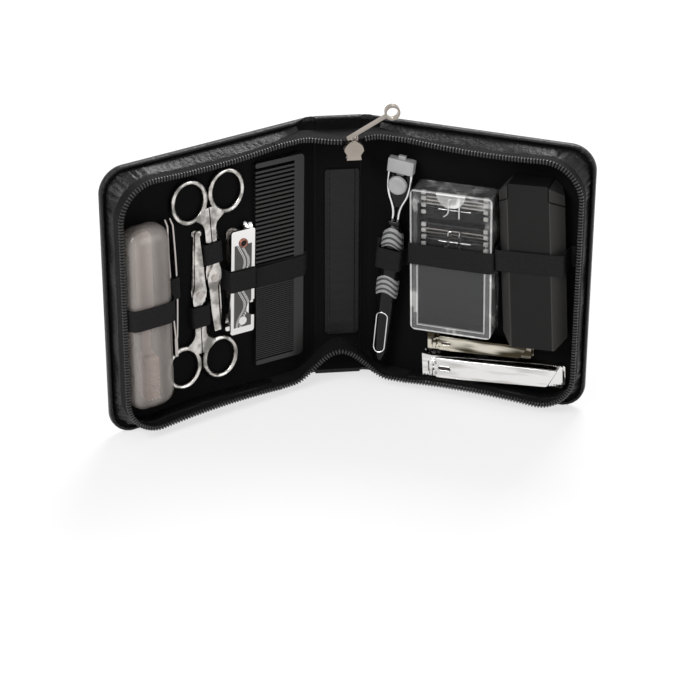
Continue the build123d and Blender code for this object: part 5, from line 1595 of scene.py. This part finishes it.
clippers = (
    ("large", 39.0, 16.2, 3.0, 84.0, 15.6, large_plate),
    ("small", 41.6, 32.6, 1.6, 62.0, 11.0, small_plate),
)
for name, x, z, lean, length, width, plate in clippers:
    dress(plate, *(f"{name}_clipper_{part}" for part in ("lower_leaf", "upper_leaf", "pin")))
    jaws = shift(right, x, z, seat_height, lean)
    pin_x = length * 0.055 + 1.2
    open_height = length * 0.05 + leaf_thickness
    lever_foot = open_height + 2 * leaf_thickness + 0.3
    lever_rear = leaf_thickness * 2 + 0.9 + 2.4
    bar_height = lever_foot + barrel_radius
    start = pin_x + fork_reach + 0.5
    outline = [
        (start, -0.42 * width), (0.89 * length, -0.36 * width), (0.965 * length, 0.36 * width), (
            start, 0.42 * width
        ),
        (start - 1.2, 0.3 * width), (start - 1.2, -0.3 * width),
    ]
    knots, levels = (0, length * 0.26, length * 0.36, length * 0.97), (
        lever_foot, lever_foot, lever_foot - 0.25, lever_rear
    )
    strip = surface(
        f"{name}_lever_strip",
        pressed_strip(jaws, outline, lambda spots: np.interp(spots, knots, levels)), plate, 45
    )
    fit(strip, f"{name}_clipper_lever", "chrome", f"{name}_clipper_lever")
    for hand in (-1, 1):
        a, b = sorted((hand * 0.13 * width, hand * 0.3 * width))
        arm = soft_block(
            jaws, (pin_x - 0.6, start + 1.0), (a, b), (lever_foot, lever_foot + lever_thickness),
            0.35
        )
        fit(
            surface(f"{name}_lever_arm_{hand + 1}", arm, plate, 40), f"{name}_clipper_lever",
            "chrome", f"{name}_clipper_lever"
        )
    bar = np.stack([np.full(9, pin_x), np.linspace(-0.3, 0.3, 9) * width, np.full(9, bar_height)], -1)
    bar_radius = np.array([0.7, 0.95, 1, 1, 1, 1, 1, 0.95, 0.7]) * barrel_radius * 0.8
    barrel = surface(f"{name}_lever_barrel", tube(world(jaws, bar), bar_radius * MM, jaws[3], 20), plate, 60)
    fit(barrel, f"{name}_clipper_lever", "chrome", f"{name}_clipper_lever")
    slot_x0, slot_x1, slot_half = start + 1.2, start + 1.2 + length * 0.095, width * 0.085
    spin = np.linspace(0.01, 2 * math.pi - 0.01, 61)
    lap = np.stack(
        [
            np.where(np.cos(spin) > 0, slot_x1 - slot_half, slot_x0 + slot_half) + slot_half * np.cos(spin),
            slot_half * np.sin(spin)
        ],
        -1
    )
    lap = np.concatenate([lap, (np.interp(lap[:, 0], knots, levels) + lever_thickness)[:, None]], 1)
    rim = surface(f"{name}_slot_rim", tube(world(jaws, lap), 0.28 * MM, jaws[3], 8), plate, 60)
    fit(rim, f"{name}_clipper_lever", "chrome")
    gap = soft_block(
        jaws, (pin_x - 2.2, start + 0.2), (-0.2 * width, 0.2 * width),
        (lever_foot - 0.4, lever_foot + 0.5), 0.2
    )
    fit(surface(f"{name}_fork_shadow", gap, slot_shadow, 40), f"{name}_clipper_lever", "chrome")
    dome = np.linspace(0.02, 1, 7)[::-1, None]
    turn = np.linspace(0, 2 * math.pi, 25)[:-1]
    head_reach = 0.115 * width * dome
    head = np.stack(np.broadcast_arrays(
        pin_x + head_reach * np.cos(turn)[None], head_reach * np.sin(turn)[None],
        lever_foot + 0.9 + 0.09 * width * np.sqrt(1 - dome ** 2),
    ), -1)
    fit(
        surface(f"{name}_pin_head", world(jaws, head), chrome, 60), f"{name}_clipper_lever",
        "chrome", f"{name}_clipper_pin"
    )
    # Painted shade: a dark block fills the slot in the lever.
    slot_shade_block = soft_block(
        jaws, (slot_x0 + 0.1, slot_x1 - 0.1), (-slot_half, slot_half),
        (lever_foot + 0.6, lever_foot + lever_thickness + 0.06), 0.05
    )
    fit(surface(f"{name}_slot_floor", slot_shade_block, slot_shadow, 40), f"{name}_clipper_lever", "chrome")
    turned_jaws = np.array([world(jaws, (0.45 * length, 0, 0)) / MM, jaws[2], -jaws[1], jaws[3]])
    sewn_band(
        f"{name}_clipper_band", "right", turned_jaws, -width / 2, width / 2, 1.5, 0, (0, 0), 1.0,
        band_width / 2
    )

# ---- Table and light ----
# A plain white table that fades into a white room, and broad soft lamps.
table_mesh = bpy.data.meshes.new("table")
table_size = 6.0
table_mesh.from_pydata(
    [
        (-table_size, -table_size, 0), (table_size, -table_size, 0), (table_size, table_size, 0),
        (-table_size, table_size, 0)
    ],
    [], [(0, 1, 2, 3)]
)
table = bpy.data.objects.new("table", table_mesh)
bpy.context.scene.collection.objects.link(table)
table_material = bpy.data.materials.new("white_table")
table_material.use_nodes = True
table_tree = table_material.node_tree
table_shader = table_tree.nodes["Principled BSDF"]
table_shader.inputs["Base Color"].default_value = (0.9, 0.9, 0.9, 1)
table_shader.inputs["Roughness"].default_value = 0.9
table_shader.inputs["Specular IOR Level"].default_value = 0.0
glow = table_tree.nodes.new("ShaderNodeEmission")
blend_in = table_tree.nodes.new("ShaderNodeMixShader")
table_paths = table_tree.nodes.new("ShaderNodeLightPath")
watched = Shade(table_tree, table_paths.outputs["Is Camera Ray"])
watched = watched.maths("MAXIMUM", Shade(table_tree, table_paths.outputs["Is Glossy Ray"]))
watched = watched.maths("MAXIMUM", Shade(table_tree, table_paths.outputs["Is Transmission Ray"]))
table_tree.links.new((watched * 0.68).socket, blend_in.inputs[0])
table_tree.links.new(table_shader.outputs[0], blend_in.inputs[1])
table_tree.links.new(glow.outputs[0], blend_in.inputs[2])
table_tree.links.new(blend_in.outputs[0], table_tree.nodes["Material Output"].inputs["Surface"])
table_mesh.materials.append(table_material)

world_data = bpy.data.worlds.new("room")
bpy.context.scene.world = world_data
world_data.use_nodes = True
room = world_data.node_tree
paths = room.nodes.new("ShaderNodeLightPath")
seen = Shade(room, paths.outputs["Is Camera Ray"]).maths(
    "MAXIMUM", Shade(room, paths.outputs["Is Glossy Ray"])
)
seen = seen.maths("MAXIMUM", Shade(room, paths.outputs["Is Transmission Ray"]))
backdrop = room.nodes["Background"]
backdrop.inputs["Color"].default_value = (1, 1, 1, 1)
room.links.new((seen * 0.55 + 0.45).socket, backdrop.inputs["Strength"])
lamps = (
    ("window", (-0.75, -0.7, 0.95), (0.0, 0.0, 0.08), 0.55, 9.0),
    ("skylight", (0.35, 0.75, 1.1), (0.0, -0.03, 0.08), 0.7, 16.0),
    ("bounce", (1.0, -0.9, 0.5), (0.05, 0.0, 0.08), 0.8, 4.0),
)
for name, where, target, size, power in lamps:
    lamp = bpy.data.lights.new(name, "AREA")
    lamp.shape = "SQUARE"
    lamp.size = size
    lamp.energy = power
    lamp_object = bpy.data.objects.new(name, lamp)
    lamp_object.location = where
    lamp_object.rotation_euler = (Vector(target) - Vector(where)).to_track_quat("-Z", "Y").to_euler()
    bpy.context.scene.collection.objects.link(lamp_object)

scene = bpy.context.scene
scene.view_settings.view_transform = "Standard"
